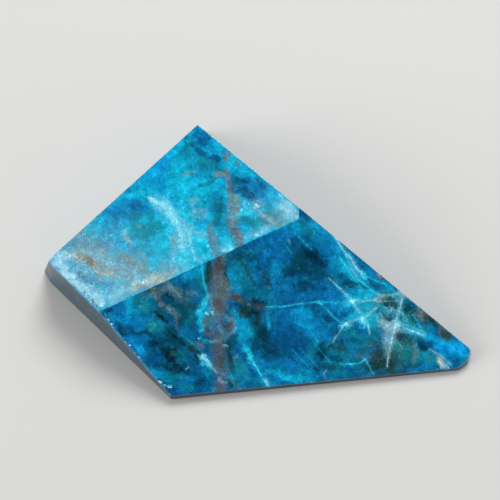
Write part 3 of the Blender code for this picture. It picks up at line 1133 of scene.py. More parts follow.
FRONT: Tuple[Region, ...] = (
    Region("front table, washes", (
        Wash(-29.5, -17.5, 7.0, 3.6, -45, ROYAL, 0.6),
        Wash(-25.5, -14.6, 4.6, 2.6, 0, TEAL, 0.8),
        Wash(-19.0, -15.0, 6.0, 4.6, -15, DEEP_TEAL, 0.85),
        Wash(-20.5, -24.5, 6.0, 5.6, -40, DEEP_TEAL, 0.7),
        Wash(-15.0, -18.0, 3.6, 3.4, 0, TEAL, 0.6),
        Wash(-12.8, -28.6, 4.6, 4.0, 0, NAVY, 0.6),
        Wash(-12.4, -9.5, 3.0, 4.5, 5, TEAL, 0.8),
        Wash(-11.8, -16.8, 2.2, 3.4, 0, SKY, 0.6),
        Wash(-3.6, -8.8, 4.4, 5.4, 20, TEAL, 0.9),
        Wash(2.0, -13.0, 4.0, 2.6, 0, TEAL, 0.6),
        Wash(-0.2, -15.6, 4.6, 3.0, -10, DEEP_TEAL, 0.9),
        Wash(-3.4, -20.6, 2.6, 4.4, 15, AZURE, 0.8),
        Wash(1.6, -20.6, 2.8, 4.6, 0, DEEP_TEAL, 0.9),
        Wash(-4.6, -28.6, 3.6, 4.0, 0, TEAL, 0.8),
        Wash(5.0, -24.5, 5.5, 3.6, -15, NAVY, 0.75),
        Wash(9.0, -16.0, 7.0, 4.0, -10, COBALT, 0.6),
        Wash(9.0, -17.6, 6.0, 2.6, -10, ROYAL, 0.8),
        Wash(12.0, -19.0, 5.0, 3.0, -45, AZURE, 0.5),
        Wash(8.0, 1.8, 4.0, 1.8, -15, SKY, 0.5),
        Wash(11.5, -6.0, 6.0, 4.8, -30, NAVY, 0.9),
        Wash(19.5, -4.6, 3.0, 8.0, 40, AZURE, 0.85),
        Wash(17.5, -13.0, 5.0, 2.6, -20, ROYAL, 0.8),
        Wash(23.5, -14.2, 7.0, 4.0, -25, AZURE, 0.6),
        Wash(27.0, -15.4, 5.0, 3.4, -15, SEA, 0.7),
        Wash(19.0, -25.0, 7.0, 4.4, 0, TEAL, 0.7),
        Wash(24.0, -21.4, 4.6, 2.6, -10, TEAL, 0.8),
        Wash(8.0, -28.8, 8.0, 2.6, 5, AZURE, 0.6),
        Wash(30.8, -25.2, 6.8, 4.4, 0, OLIVE, 0.95),
        Wash(33.5, -21.0, 3.6, 2.6, -20, OLIVE, 0.8),
        Wash(31.5, -14.0, 5.0, 3.4, -30, TEAL, 0.7),
        Wash(37.4, -18.0, 5.0, 3.0, -35, TEAL, 0.9),
        Wash(36.6, -24.6, 4.4, 3.6, 0, TEAL, 0.95),
        Wash(45.5, -23.4, 4.6, 2.4, -25, AZURE, 0.9),
        Wash(26.5, -7.6, 4.0, 1.4, -38, TEAL, 0.5),
        Wash(22.5, -8.0, 4.5, 2.0, -38, SKY, 0.25),
        Wash(24.5, -13.0, 4.5, 3.4, -30, SKY, 0.45),
        Wash(31.5, -13.6, 5.0, 2.8, -30, SEA, 0.6),
        Wash(27.6, -17.4, 3.6, 2.0, 0, SKY, 0.5),
        Wash(30.4, -19.4, 2.4, 4.4, 0, HAZE, 0.5),
        Wash(47.0, -22.6, 3.0, 1.6, -25, SKY, 0.8),
        Wash(-19.0, -21.0, 4.0, 2.6, -35, DEEP_TEAL, 0.7),
        Wash(1.0, -22.0, 3.0, 4.0, 0, ABYSS, 0.5),
    )),
    Region("front, left", (
        Cloud(-33.2, -16.4, 1.4, 0.6, 15, NAVY, 0.8),
        Cloud(-32.0, -18.4, 2.2, 0.8, -45, AZURE, 0.7),
        Cloud(-29.2, -15.8, 1.2, 1.8, -15, SKY, 0.5),
        Cloud(-27.6, -17.2, 1.8, 1.0, -20, SKY, 0.3),
        Cloud(-25.4, -15.8, 1.6, 1.0, 0, SEA, 0.5),
        Cloud(-30.2, -19.8, 2.6, 0.8, -10, COBALT, 0.8),
        Cloud(-31.0, -20.4, 1.2, 0.6, -20, NAVY, 0.8),
        Cloud(-27.0, -20.8, 3.0, 0.6, 0, NAVY, 0.8),
        Cloud(-27.4, -23.2, 2.2, 1.6, -45, ROYAL, 0.9),
        Cloud(-26.2, -24.8, 1.4, 0.8, -45, AZURE, 0.6),
        Cloud(-23.0, -19.6, 2.2, 0.9, -20, TEAL, 0.95),
        Cloud(-23.8, -19.2, 1.0, 0.5, -20, SEA, 0.6),
        Cloud(-23.4, -22.9, 2.2, 1.5, 0, NAVY, 0.9),
        Cloud(-22.8, -22.6, 1.0, 0.7, 0, ABYSS, 0.6),
        Cloud(-23.4, -26.4, 2.0, 1.6, -20, COBALT, 0.9),
        Cloud(-21.4, -27.8, 1.7, 0.9, 0, NAVY, 0.8),
        Cloud(-19.8, -25.6, 2.2, 1.5, -20, ABYSS, 0.95),
        Cloud(-19.8, -25.3, 0.7, 0.5, 0, OLIVE, 0.8),
        Cloud(-17.2, -25.4, 1.6, 1.0, 0, TEAL, 0.45),
        Cloud(-18.2, -28.2, 2.2, 1.1, 0, ABYSS, 0.8),
        Cloud(-22.3, -29.6, 2.4, 0.7, -15, AZURE, 0.95),
        Cloud(-18.6, -30.4, 2.6, 0.5, 10, TEAL, 0.9),
        Cloud(-19.5, -31.8, 2.6, 0.8, -10, AZURE, 0.3),
        Cloud(-15.4, -30.6, 1.6, 0.8, 0, ROYAL, 0.7),
        Cloud(-15.0, -32.2, 2.0, 0.7, 5, TEAL, 0.6),
        Cloud(-12.8, -30.9, 1.4, 0.8, 10, NAVY, 0.8),
    )),
    Region("front, bruises on the left rim", (
        Cloud(-34.5, -17.4, 0.25, 0.2, -46, SNOW, 1.0),
        Cloud(-33.9, -18.0, 0.4, 0.18, -46, SNOW, 1.0),
        Cloud(-33.3, -18.8, 0.2, 0.28, 0, SNOW, 1.0),
        Cloud(-32.9, -19.6, 0.25, 0.16, -46, SNOW, 1.0),
        Cloud(-30.2, -22.8, 0.3, 0.16, -46, SNOW, 0.9),
        Cloud(-29.4, -23.4, 0.2, 0.14, -20, SNOW, 0.9),
        Cloud(-27.0, -25.9, 0.25, 0.14, -46, SNOW, 0.9),
        Cloud(-24.9, -28.3, 0.2, 0.12, -46, SNOW, 0.8),
        Cloud(-21.9, -31.0, 0.5, 0.16, -30, SNOW, 0.9),
        Cloud(-20.9, -31.9, 0.35, 0.14, -20, ICE, 0.9),
        Cloud(-20.0, -32.3, 0.25, 0.14, 10, SNOW, 0.9),
    )),
    Region("front, dark teal", (
        Cloud(-20.0, -13.4, 1.5, 0.9, -20, ABYSS, 0.95),
        Cloud(-21.8, -17.6, 1.4, 0.6, -40, ABYSS, 0.95),
        Cloud(-16.4, -12.4, 1.6, 1.4, 0, BOTTLE, 0.35),
        Cloud(-16.8, -17.8, 1.2, 2.2, 0, DEEP_TEAL, 0.8),
        Cloud(-14.6, -15.6, 1.6, 1.2, 0, BOTTLE, 0.6),
        Cloud(-14.4, -19.6, 1.4, 1.2, 0, COBALT, 0.5),
        Cloud(-24.1, -12.2, 1.3, 0.6, -15, OLIVE, 0.95),
        Threads(-24.0, -12.0, 0.7, 0.4, -15, RUST, 0.6),
        Wash(-23.2, -12.4, 3.2, 1.4, 20, MOSS, 0.6),
        Cloud(-19.6, -11.4, 1.2, 1.0, -40, GREY, 0.5),
        Threads(-19.2, -12.2, 3.2, 1.4, -40, GREY, 0.55),
        Web(-15.0, -14.0, 3.0, 3.0, 0, SEA, 0.2),
        Cloud(-19.0, -11.6, 2.4, 0.4, -50, GREY, 0.6),
        Threads(-22.4, -13.8, 2.4, 0.5, -45, MAUVE, 0.7),
        Threads(-19.8, -16.2, 2.0, 0.7, -40, GREY, 0.8),
        Web(-19.8, -16.2, 2.6, 1.2, -35, CREAM, 0.25),
        Threads(-18.2, -18.6, 0.5, 1.4, 10, MAUVE, 0.6),
        Vein(SEA, 0.4, ((-23.8, -17.0, 0.12), (-22.9, -18.4, 0.12), (-21.2, -18.8, 0.12),
                        (-19.8, -20.0, 0.1))),
        Vein(ABYSS, 0.95, ((-20.4, -20.2, 0.3), (-18.9, -21.6, 0.4), (-17.2, -22.7, 0.5),
                           (-15.6, -23.8, 0.4), (-14.2, -24.8, 0.5), (-13.4, -25.8, 0.4))),
        Cloud(-14.8, -24.2, 1.3, 0.5, -35, OLIVE, 0.95),
        Cloud(-12.9, -24.9, 1.1, 0.5, -50, ABYSS, 0.7),
        Vein(SEA, 0.6, ((-17.6, -20.9, 0.12), (-16.0, -22.0, 0.18), (-14.6, -22.9, 0.15),
                        (-12.8, -24.4, 0.15), (-12.0, -25.4, 0.2))),
        Cloud(-12.8, -23.2, 1.2, 0.5, -20, MAUVE, 0.7),
        Vein(ICE, 0.7, ((-16.2, -28.3, 0.06), (-15.5, -27.9, 0.08))),
    )),
    Region("front, round the band", (
        Cloud(-14.6, -8.4, 2.6, 1.0, 20, AZURE, 0.8),
        Threads(-14.5, -12.7, 1.3, 0.5, 0, GREY, 0.6),
        Cloud(-10.9, -8.6, 0.9, 2.4, 0, BOTTLE, 0.9),
        Cloud(-11.2, -14.8, 0.9, 1.4, -20, CYAN, 0.7),
        Cloud(-12.6, -16.6, 1.2, 0.7, 20, CYAN, 0.8),
        Cloud(-13.0, -19.2, 0.8, 1.8, 0, SKY, 0.6),
        Cloud(-10.6, -18.4, 1.0, 1.1, 0, TEAL, 0.9),
        Cloud(-7.0, -9.4, 0.7, 2.8, 5, BOTTLE, 0.7),
        Cloud(-4.6, -5.0, 2.4, 0.9, 20, DEEP_TEAL, 0.8),
        Cloud(-5.2, -10.2, 1.2, 2.6, 15, AZURE, 0.6),
        Cloud(-2.0, -8.2, 0.6, 3.0, 32, BOTTLE, 0.7),
        Cloud(-1.2, -6.6, 1.6, 1.4, 0, ROYAL, 0.6),
        Cloud(-5.2, -16.4, 0.8, 1.4, 0, SEA, 0.7),
        Cloud(-3.6, -18.6, 1.5, 1.8, 20, AZURE, 0.9),
        Cloud(-2.6, -20.6, 1.7, 1.2, 40, SKY, 0.6),
        Cloud(-5.6, -22.6, 1.4, 1.4, 0, DEEP_TEAL, 0.7),
        Cloud(-6.2, -25.6, 0.8, 2.6, 10, BOTTLE, 0.8),
        Cloud(-3.4, -28.4, 1.6, 2.0, 20, SEA, 0.25),
        Cloud(-11.4, -29.2, 1.8, 1.2, -30, AZURE, 0.7),
        Cloud(-6.0, -31.0, 1.1, 1.0, 0, DEEP_TEAL, 0.8),
    )),
    Region("front, brown band", (
        Band(MAUVE, 0.9, ((-8.8, -4.8, 1.1), (-8.7, -8.0, 1.2), (-8.6, -10.8, 1.3))),
        Cloud(-8.7, -7.2, 0.8, 2.0, 0, UMBER, 0.8),
        Band(MAUVE, 0.8, ((-8.6, -10.8, 1.6), (-8.4, -13.6, 1.9), (-8.8, -16.2, 1.3))),
        Wash(-7.7, -12.8, 2.4, 3.0, 0, MOSS, 0.75),
        Cloud(-8.9, -15.4, 1.3, 0.9, 0, BRICK, 0.5),
        Cloud(-8.4, -14.6, 0.9, 0.6, 0, UMBER, 0.6),
        Vein(MILK, 0.6, ((-10.4, -12.8, 0.1), (-10.3, -15.0, 0.16), (-9.8, -16.8, 0.2),
                         (-8.6, -17.0, 0.12))),
        Band(GREY, 0.7, ((-8.5, -17.0, 0.3), (-8.2, -18.6, 0.3), (-8.3, -20.0, 0.3), (-7.4, -21.6, 0.3))),
        Wash(-8.8, -18.6, 3.2, 3.8, 0, MOSS, 0.4),
        Band(MAUVE, 0.75, ((-10.9, -17.2, 0.35), (-12.1, -18.6, 0.4), (-12.0, -20.4, 0.5),
                           (-10.6, -20.9, 0.7), (-9.0, -20.4, 0.5))),
        Band(GREY, 0.6, ((-7.0, -16.9, 0.4), (-5.4, -18.0, 0.4), (-5.4, -20.0, 0.5), (-6.6, -21.2, 0.6),
                         (-8.2, -20.8, 0.5))),
        Cloud(-11.0, -20.3, 0.8, 0.6, 0, UMBER, 0.7),
        Cloud(-6.9, -18.8, 1.1, 1.3, 0, UMBER, 0.8),
        Cloud(-11.8, -22.2, 1.2, 0.6, -20, SEA, 0.7),
        Cloud(-9.4, -22.6, 1.4, 0.4, -5, MILK, 0.6),
        Band(MAUVE, 0.95, ((-8.8, -22.4, 1.1), (-8.8, -25.2, 1.4), (-8.2, -27.8, 1.2), (-7.9, -29.6, 0.8),
                           (-8.4, -31.4, 1.0), (-8.6, -33.0, 1.1))),
        Cloud(-8.8, -23.4, 0.7, 0.6, 0, UMBER, 0.2),
        Cloud(-7.9, -26.2, 0.7, 1.2, 0, OLIVE, 0.4),
        Cloud(-7.2, -23.8, 0.8, 0.4, -30, MILK, 0.6),
        Threads(-7.8, -30.4, 0.9, 0.4, -30, MILK, 0.5),
        Cloud(-11.4, -26.4, 2.0, 0.8, -48, CYAN, 0.6),
        Threads(-11.6, -26.0, 1.5, 0.6, -48, ICE, 0.9),
        Vein(ICE, 0.8, ((-12.3, -25.2, 0.12), (-11.5, -26.2, 0.25), (-10.5, -27.4, 0.16),
                        (-9.1, -28.8, 0.1))),
        Vein(CYAN, 0.7, ((-12.6, -6.4, 0.12), (-12.2, -9.0, 0.1), (-11.7, -11.2, 0.12),
                         (-11.0, -13.2, 0.16))),
        Vein(GREY, 0.7, ((-6.2, -29.8, 0.15), (-4.6, -31.6, 0.15), (-2.8, -32.8, 0.15))),
        Cloud(-11.4, -17.0, 0.35, 0.3, 0, ICE, 0.95),
        Cloud(-10.4, -16.4, 0.25, 0.25, 0, ICE, 0.95),
        Cloud(-13.4, -21.6, 0.3, 0.2, 0, ICE, 0.9),
    )),
    Region("front, rust", (
        Cloud(-2.2, -16.0, 1.9, 1.3, -20, BOTTLE, 0.95),
        Cloud(-0.4, -16.4, 1.2, 0.8, 0, ABYSS, 0.8),
        Cloud(0.8, -14.2, 1.8, 0.7, -10, ABYSS, 0.7),
        Cloud(0.4, -18.2, 1.0, 1.4, 0, BOTTLE, 0.8),
        Cloud(-5.8, -13.2, 0.8, 0.5, 0, MOSS, 0.8),
        Vein(UMBER, 0.8, ((-3.9, -13.6, 0.25), (-2.6, -14.1, 0.2), (-1.4, -14.6, 0.25),
                          (-0.2, -14.9, 0.2), (0.6, -15.3, 0.2))),
        Cloud(-4.4, -13.6, 1.2, 0.7, -10, UMBER, 0.9),
        Threads(-4.4, -13.6, 0.6, 0.4, -10, RUST, 0.7),
        Cloud(-1.6, -14.9, 0.7, 0.3, -20, GREY, 0.6),
        Vein(BRICK, 0.6, ((0.2, -15.2, 0.1), (1.4, -15.6, 0.12), (2.2, -15.5, 0.1))),
        Vein(BRICK, 0.5, ((0.2, -14.8, 0.1), (1.0, -15.0, 0.12), (2.0, -15.0, 0.1))),
        Vein(SEA, 0.6, ((3.6, -12.2, 0.12), (3.2, -13.8, 0.12), (2.6, -15.2, 0.12), (2.9, -18.8, 0.2))),
        Cloud(3.2, -11.8, 0.4, 0.3, 0, GREY, 0.7),
    )),
    Region("front, middle", (
        Cloud(-0.6, -4.8, 1.6, 0.8, 20, DEEP_TEAL, 0.7),
        Cloud(2.4, -9.8, 0.8, 2.2, 30, BOTTLE, 0.6),
        Cloud(2.0, -4.4, 2.0, 1.0, 10, ROYAL, 0.6),
        Cloud(4.6, -7.0, 1.8, 1.6, 0, AZURE, 0.5),
        Cloud(8.2, -8.0, 1.9, 0.8, 0, NAVY, 0.95),
        Cloud(6.5, -11.2, 3.0, 0.8, 5, ROYAL, 0.6),
        Cloud(5.4, -13.0, 2.6, 0.7, 5, ROYAL, 0.5),
        Cloud(3.1, -17.8, 0.5, 2.2, 0, AZURE, 0.6),
        Cloud(-2.0, -24.5, 1.5, 0.9, -40, SKY, 0.9),
        Cloud(-0.9, -26.2, 1.1, 0.7, -50, CYAN, 0.8),
        Threads(-4.7, -26.0, 0.9, 0.6, 0, GREY, 0.7),
        Vein(CYAN, 1.0, ((-2.6, -23.8, 0.15), (-1.2, -26.0, 0.2), (0.3, -27.9, 0.22), (1.3, -29.5, 0.22),
                         (2.3, -30.8, 0.3), (3.8, -32.2, 0.3))),
        Threads(2.4, -30.8, 0.9, 0.4, -45, ICE, 0.8),
        Cloud(6.4, -21.2, 2.6, 2.4, 0, COBALT, 0.9),
        Cloud(3.2, -24.4, 2.0, 1.4, 0, NAVY, 0.8),
        Cloud(7.6, -26.6, 2.8, 0.9, -20, ROYAL, 0.9),
        Cloud(10.0, -15.8, 2.6, 1.0, -10, AZURE, 0.8),
        Cloud(11.6, -19.0, 2.6, 0.9, -45, AZURE, 0.6),
        Cloud(11.2, -22.0, 2.4, 1.4, 0, COBALT, 0.7),
        Cloud(4.2, -29.0, 2.0, 0.9, 0, SKY, 0.5),
        Cloud(9.0, -29.6, 3.4, 0.8, 5, SKY, 0.6),
        Cloud(13.0, -29.4, 2.4, 0.9, 5, AZURE, 0.7),
        Vein(ICE, 0.9, ((7.4, -1.6, 0.12), (7.5, -2.0, 0.12))),
        Vein(SKY, 0.7, ((6.4, -2.2, 0.1), (7.4, -3.4, 0.15), (8.2, -4.2, 0.1))),
    )),
    Region("front, under the ridge end", (
        Cloud(12.2, 0.8, 2.2, 1.4, -30, TEAL, 0.8),
        Cloud(14.2, 1.4, 2.0, 0.8, -40, AZURE, 0.7),
        Cloud(8.8, -1.8, 1.4, 1.0, 0, NAVY, 0.6),
        Cloud(12.8, -4.2, 3.2, 1.2, -38, ABYSS, 0.7),
        Cloud(10.4, -6.2, 2.2, 1.5, 0, DEEP_TEAL, 0.7),
        Cloud(14.4, -8.0, 2.4, 1.6, -20, NAVY, 0.6),
        Cloud(12.0, -11.0, 3.0, 1.2, 0, NAVY, 0.8),
        Cloud(16.2, -3.6, 1.6, 2.0, 20, ROYAL, 0.8),
        Cloud(18.4, -6.6, 1.6, 1.8, 30, AZURE, 0.7),
        Cloud(21.4, -7.6, 1.8, 1.4, -30, SKY, 0.7),
        Vein(SKY, 0.8, ((8.8, 0.0, 0.12), (10.6, -1.6, 0.2), (12.6, -3.3, 0.12))),
        Cloud(22.4, -10.2, 2.8, 0.6, -5, DEEP_TEAL, 0.95),
        Cloud(20.2, -10.0, 1.0, 0.5, -5, NAVY, 0.8),
        Cloud(24.6, -12.2, 2.4, 1.0, -20, SKY, 0.8),
        Cloud(21.4, -16.6, 1.8, 0.9, 20, SKY, 0.8),
        Cloud(16.8, -17.4, 1.6, 0.9, -30, NAVY, 0.8),
        Cloud(18.6, -15.6, 1.8, 0.8, -30, ROYAL, 0.7),
        Cloud(22.0, -20.6, 2.6, 1.3, 0, TEAL, 0.8),
        Cloud(23.6, -21.6, 1.6, 0.8, 0, COBALT, 0.7),
        Cloud(15.2, -24.4, 1.6, 1.8, 0, ABYSS, 0.7),
        Cloud(14.6, -27.2, 1.4, 1.0, 0, NAVY, 0.8),
        Cloud(19.4, -23.2, 2.0, 1.0, -20, BOTTLE, 0.6),
        Cloud(18.4, -25.6, 1.4, 0.8, 0, NAVY, 0.7),
        Cloud(22.4, -27.8, 2.6, 0.7, 5, COBALT, 0.6),
        Cloud(17.4, -27.4, 2.2, 1.2, 5, DEEP_TEAL, 0.7),
        Cloud(22.6, -25.4, 1.8, 0.7, 0, TEAL, 0.8),
    )),
    Region("front, point", (
        Cloud(26.4, -7.8, 2.2, 0.7, -38, ROYAL, 0.9),
        Cloud(30.4, -10.4, 2.0, 0.8, -38, AZURE, 0.9),
        Cloud(30.2, -14.4, 1.8, 0.6, -10, DEEP_TEAL, 0.9),
        Cloud(32.0, -14.2, 0.8, 0.8, 0, BOTTLE, 0.7),
        Cloud(35.2, -15.0, 1.4, 0.8, -30, DEEP_TEAL, 0.9),
        Cloud(28.6, -15.8, 1.2, 0.6, 0, TEAL, 0.8),
        Cloud(30.8, -16.6, 1.2, 0.5, 0, DEEP_TEAL, 0.8),
        Cloud(35.4, -17.2, 2.0, 0.9, -35, SEA, 0.6),
        Cloud(38.0, -18.0, 1.2, 0.6, -35, ROYAL, 0.6),
        Cloud(27.6, -19.8, 1.2, 1.4, 0, TEAL, 0.9),
        Cloud(34.0, -20.8, 2.2, 1.5, -20, BOTTLE, 0.5),
        Cloud(28.6, -24.8, 2.2, 1.4, 0, OLIVE, 0.6),
        Cloud(28.2, -26.8, 3.0, 1.0, 5, BOTTLE, 0.8),
        Cloud(33.2, -25.4, 2.2, 1.4, 0, BOTTLE, 0.4),
        Cloud(40.4, -24.8, 1.8, 1.2, 0, SEA, 0.5),
        Cloud(36.0, -27.2, 3.0, 0.8, 5, DEEP_TEAL, 0.6),
        Cloud(41.4, -20.8, 2.8, 0.7, -22, GENTIAN, 0.8),
        Cloud(38.3, -21.7, 1.1, 1.1, 0, NAVY, 1.0),
        Cloud(41.0, -22.3, 2.4, 0.8, -18, COBALT, 0.9),
        Cloud(43.4, -23.2, 2.6, 0.9, -22, GENTIAN, 0.9),
        Cloud(45.6, -24.6, 1.8, 0.9, -22, ROYAL, 0.9),
        Cloud(46.2, -22.6, 3.0, 1.1, -24, GENTIAN, 0.8),
        Cloud(46.6, -25.4, 0.8, 0.5, 0, COBALT, 0.9),
        Cloud(41.6, -17.2, 1.4, 0.5, -35, SEA, 0.6),
        Cloud(36.4, -15.6, 3.0, 1.4, -38, DEEP_TEAL, 0.7),
        Cloud(41.0, -17.6, 4.6, 1.1, -38, BOTTLE, 0.6),
        Threads(38.8, -16.0, 1.7, 0.9, -38, TAN, 0.8),
        Cloud(40.4, -17.0, 1.6, 0.5, -38, OLIVE, 0.8),
        Threads(43.2, -19.2, 2.2, 0.8, -38, MOSS, 0.9),
        Cloud(43.8, -19.6, 1.4, 0.5, -38, OLIVE, 0.8),
        Cloud(28.0, -7.7, 1.5, 0.4, -38, TAN, 0.9),
        Cloud(29.4, -8.6, 0.7, 0.3, -38, UMBER, 0.9),
        Cloud(32.8, -10.6, 1.0, 0.35, -38, UMBER, 0.9),
        Cloud(34.6, -12.0, 1.5, 0.5, -38, CREAM, 0.5),
        Cloud(36.6, -13.6, 1.5, 0.35, -40, MILK, 0.5),
        Threads(28.4, -13.4, 1.2, 0.8, 0, CREAM, 0.7),
        Threads(33.8, -12.4, 1.6, 0.8, -20, MILK, 0.7),
        Web(30.6, -13.8, 4.4, 2.4, -20, MILK, 0.5),
        Cloud(31.0, -13.8, 1.8, 0.7, -10, BOTTLE, 0.7),
        Threads(30.4, -18.2, 2.2, 1.2, -10, CREAM, 0.7),
        Threads(30.1, -21.0, 1.1, 3.2, -8, MILK, 0.7),
        Web(31.4, -20.6, 4.4, 4.2, 0, CREAM, 0.15),
        Cloud(32.4, -22.4, 1.4, 0.6, -45, SEA, 0.6),
        Threads(33.6, -23.6, 2.4, 2.6, 0, SEA, 0.4),
        Threads(36.5, -24.6, 0.5, 3.2, -4, GREY, 0.7),
        Web(22.0, -17.0, 4.0, 4.6, 0, CYAN, 0.35),
        Web(37.0, -17.0, 3.4, 1.6, -38, MILK, 0.3),
    )),
    Region("front, pale cracks", (
        Vein(ICE, 1.0, ((17.0, 1.0, 0.08), (18.4, -1.2, 0.13), (19.8, -3.1, 0.14), (21.8, -5.0, 0.16),
                        (22.8, -6.7, 0.18), (24.8, -8.5, 0.2))),
        Vein(ICE, 0.7, ((20.6, -4.2, 0.08), (21.6, -6.8, 0.1), (23.0, -8.6, 0.12))),
        Vein(CYAN, 0.8, ((24.8, -8.3, 0.16), (26.8, -9.1, 0.12), (29.6, -10.0, 0.1))),
        Cloud(24.7, -8.2, 1.2, 0.5, -40, CYAN, 0.8),
        Vein(CYAN, 1.0, ((19.0, -4.8, 0.1), (20.4, -6.4, 0.13), (22.2, -8.6, 0.15), (24.0, -9.6, 0.14),
                         (26.4, -11.2, 0.14), (28.0, -12.2, 0.14))),
        Vein(CYAN, 0.6, ((22.2, -8.6, 0.1), (24.2, -10.9, 0.13), (25.2, -13.0, 0.13), (25.4, -15.0, 0.13),
                         (25.2, -17.0, 0.14))),
        Vein(CYAN, 0.75, ((2.4, -15.2, 0.12), (6.0, -15.1, 0.1), (9.2, -14.5, 0.1), (14.6, -13.9, 0.14),
                          (18.4, -14.1, 0.1), (22.2, -13.8, 0.14))),
        Cloud(14.7, -13.8, 0.8, 0.25, 0, CYAN, 0.8),
        Vein(ICE, 0.85, ((16.6, -9.0, 0.06), (18.8, -10.8, 0.12), (20.7, -12.4, 0.14),
                         (22.2, -13.9, 0.16), (24.0, -16.0, 0.15), (25.1, -17.1, 0.18),
                         (25.9, -18.8, 0.13), (26.3, -20.4, 0.08))),
        Cloud(22.2, -13.8, 2.0, 0.6, 0, CYAN, 0.7),
        Cloud(22.2, -13.8, 0.8, 0.25, 0, FROST, 0.9),
        Vein(ICE, 0.7, ((21.4, -13.7, 0.14), (24.4, -13.6, 0.12), (27.4, -13.3, 0.08))),
        Vein(CYAN, 0.75, ((15.2, -14.6, 0.08), (17.0, -16.2, 0.12), (18.7, -17.5, 0.12),
                          (20.1, -18.5, 0.14))),
        Cloud(20.2, -18.5, 1.7, 0.9, 15, CYAN, 0.6),
        Cloud(20.1, -18.6, 0.9, 0.5, 15, FROST, 0.9),
        Vein(FROST, 0.8, ((20.4, -18.3, 0.13), (22.6, -17.5, 0.1), (25.1, -17.0, 0.14),
                          (26.8, -15.5, 0.12), (27.6, -15.0, 0.08))),
        Cloud(25.2, -17.1, 1.5, 0.9, -10, CYAN, 0.7),
        Cloud(25.2, -17.1, 0.6, 0.35, -10, FROST, 0.8),
        Vein(MILK, 0.7, ((20.0, -18.7, 0.1), (19.1, -20.2, 0.12))),
        Vein(ICE, 0.75, ((18.9, -20.5, 0.1), (18.2, -21.2, 0.14), (17.8, -22.2, 0.08))),
        Vein(MILK, 0.7, ((25.0, -17.4, 0.14), (24.9, -19.0, 0.1))),
        Vein(CYAN, 0.9, ((19.4, -26.6, 0.08), (20.3, -26.7, 0.12), (22.0, -26.5, 0.13),
                         (24.0, -26.3, 0.1), (25.3, -25.4, 0.1), (26.3, -27.2, 0.1),
                         (27.3, -28.6, 0.08))),
        Vein(MAUVE, 0.6, ((22.8, -24.2, 0.12), (25.0, -25.6, 0.14), (27.0, -24.8, 0.1))),
        Vein(MILK, 0.6, ((16.2, -27.9, 0.1), (15.6, -28.6, 0.1), (16.2, -29.8, 0.08),
                         (17.4, -30.5, 0.08))),
        Vein(SKY, 0.6, ((8.3, -23.8, 0.06), (13.4, -28.4, 0.08))),
        Vein(SKY, 0.6, ((10.0, -23.4, 0.06), (14.6, -27.6, 0.08))),
        Vein(SKY, 0.6, ((11.4, -20.2, 0.06), (17.4, -26.6, 0.08))),
        Vein(CYAN, 0.7, ((13.0, -20.8, 0.14), (14.2, -22.0, 0.1))),
        Vein(MILK, 0.6, ((27.4, -12.2, 0.1), (29.4, -12.4, 0.1), (31.4, -12.1, 0.12),
                         (34.0, -11.8, 0.16))),
        Vein(MILK, 0.5, ((27.6, -13.8, 0.08), (30.4, -13.5, 0.1), (33.6, -13.3, 0.1))),
        Vein(MILK, 0.5, ((29.0, -15.2, 0.08), (31.0, -15.3, 0.12), (33.2, -15.0, 0.1))),
        Vein(FROST, 0.85, ((34.0, -11.8, 0.14), (33.6, -13.2, 0.16), (33.1, -14.8, 0.14),
                           (32.6, -16.4, 0.16), (32.3, -17.6, 0.24))),
        Threads(32.3, -17.7, 0.9, 0.6, -15, SNOW, 0.8),
        Vein(CYAN, 0.9, ((32.4, -17.9, 0.3), (34.0, -18.8, 0.3), (36.6, -19.7, 0.3), (38.8, -20.4, 0.4))),
        Vein(ICE, 1.0, ((32.4, -18.0, 0.24), (34.0, -18.9, 0.2), (36.6, -19.7, 0.18),
                        (38.6, -20.2, 0.2))),
        Vein(SKY, 0.7, ((38.8, -20.4, 0.3), (41.4, -21.2, 0.3), (44.8, -22.4, 0.2))),
        Vein(CYAN, 0.7, ((33.4, -18.2, 0.1), (35.6, -18.4, 0.13), (38.0, -19.4, 0.1))),
        Vein(FROST, 1.0, ((32.2, -18.2, 0.22), (31.8, -20.0, 0.18), (31.3, -21.5, 0.18),
                          (30.8, -23.6, 0.16), (30.5, -25.4, 0.12), (30.4, -27.0, 0.08))),
        Vein(MILK, 0.7, ((31.6, -20.6, 0.12), (32.8, -21.8, 0.12), (34.0, -23.2, 0.08))),
        Vein(MILK, 0.6, ((32.2, -17.8, 0.14), (30.0, -17.9, 0.12), (28.4, -17.1, 0.1),
                         (27.6, -16.4, 0.08))),
        Vein(CYAN, 0.7, ((36.3, -16.2, 0.1), (37.2, -17.5, 0.12), (38.1, -18.8, 0.12),
                         (39.2, -20.2, 0.12))),
        Vein(ICE, 0.85, ((40.2, -23.2, 0.12), (42.2, -24.2, 0.15), (43.8, -25.2, 0.14),
                         (45.2, -26.2, 0.1))),
        Cloud(42.2, -25.2, 1.6, 0.8, -50, GREY, 0.6),
        Cloud(42.3, -25.5, 1.3, 0.5, -55, CREAM, 0.9),
        Cloud(43.8, -26.4, 1.0, 0.4, -45, MILK, 0.7),
    )),
)


Ground = Tuple[Tint, Tint, Tint, Tint]


@dataclass(frozen=True)
class Side:
    """One side of the ridge: its ground colours and its marks.

    ground: the deep, the middle and the bright tint that its ground colour drifts between, and a greener one
    marks: the regions that run through the stone
    bloom_and_sheen: the regions that lie only just under the table, the stone's milky bloom and with it a
    painted reflection of the table's pale sheen
    streaks: how plainly its fine slanting streaks show
    streak_turn: how far the streaks are turned from +X, in degrees
    contrast: how much its dark parts are deepened and its bright ones lifted
    gain: how light it is as a whole
    """

    name: str
    ground: Ground
    marks: Tuple[Region, ...]
    bloom_and_sheen: Tuple[Region, ...]
    streaks: float
    streak_turn: float
    contrast: float
    gain: float


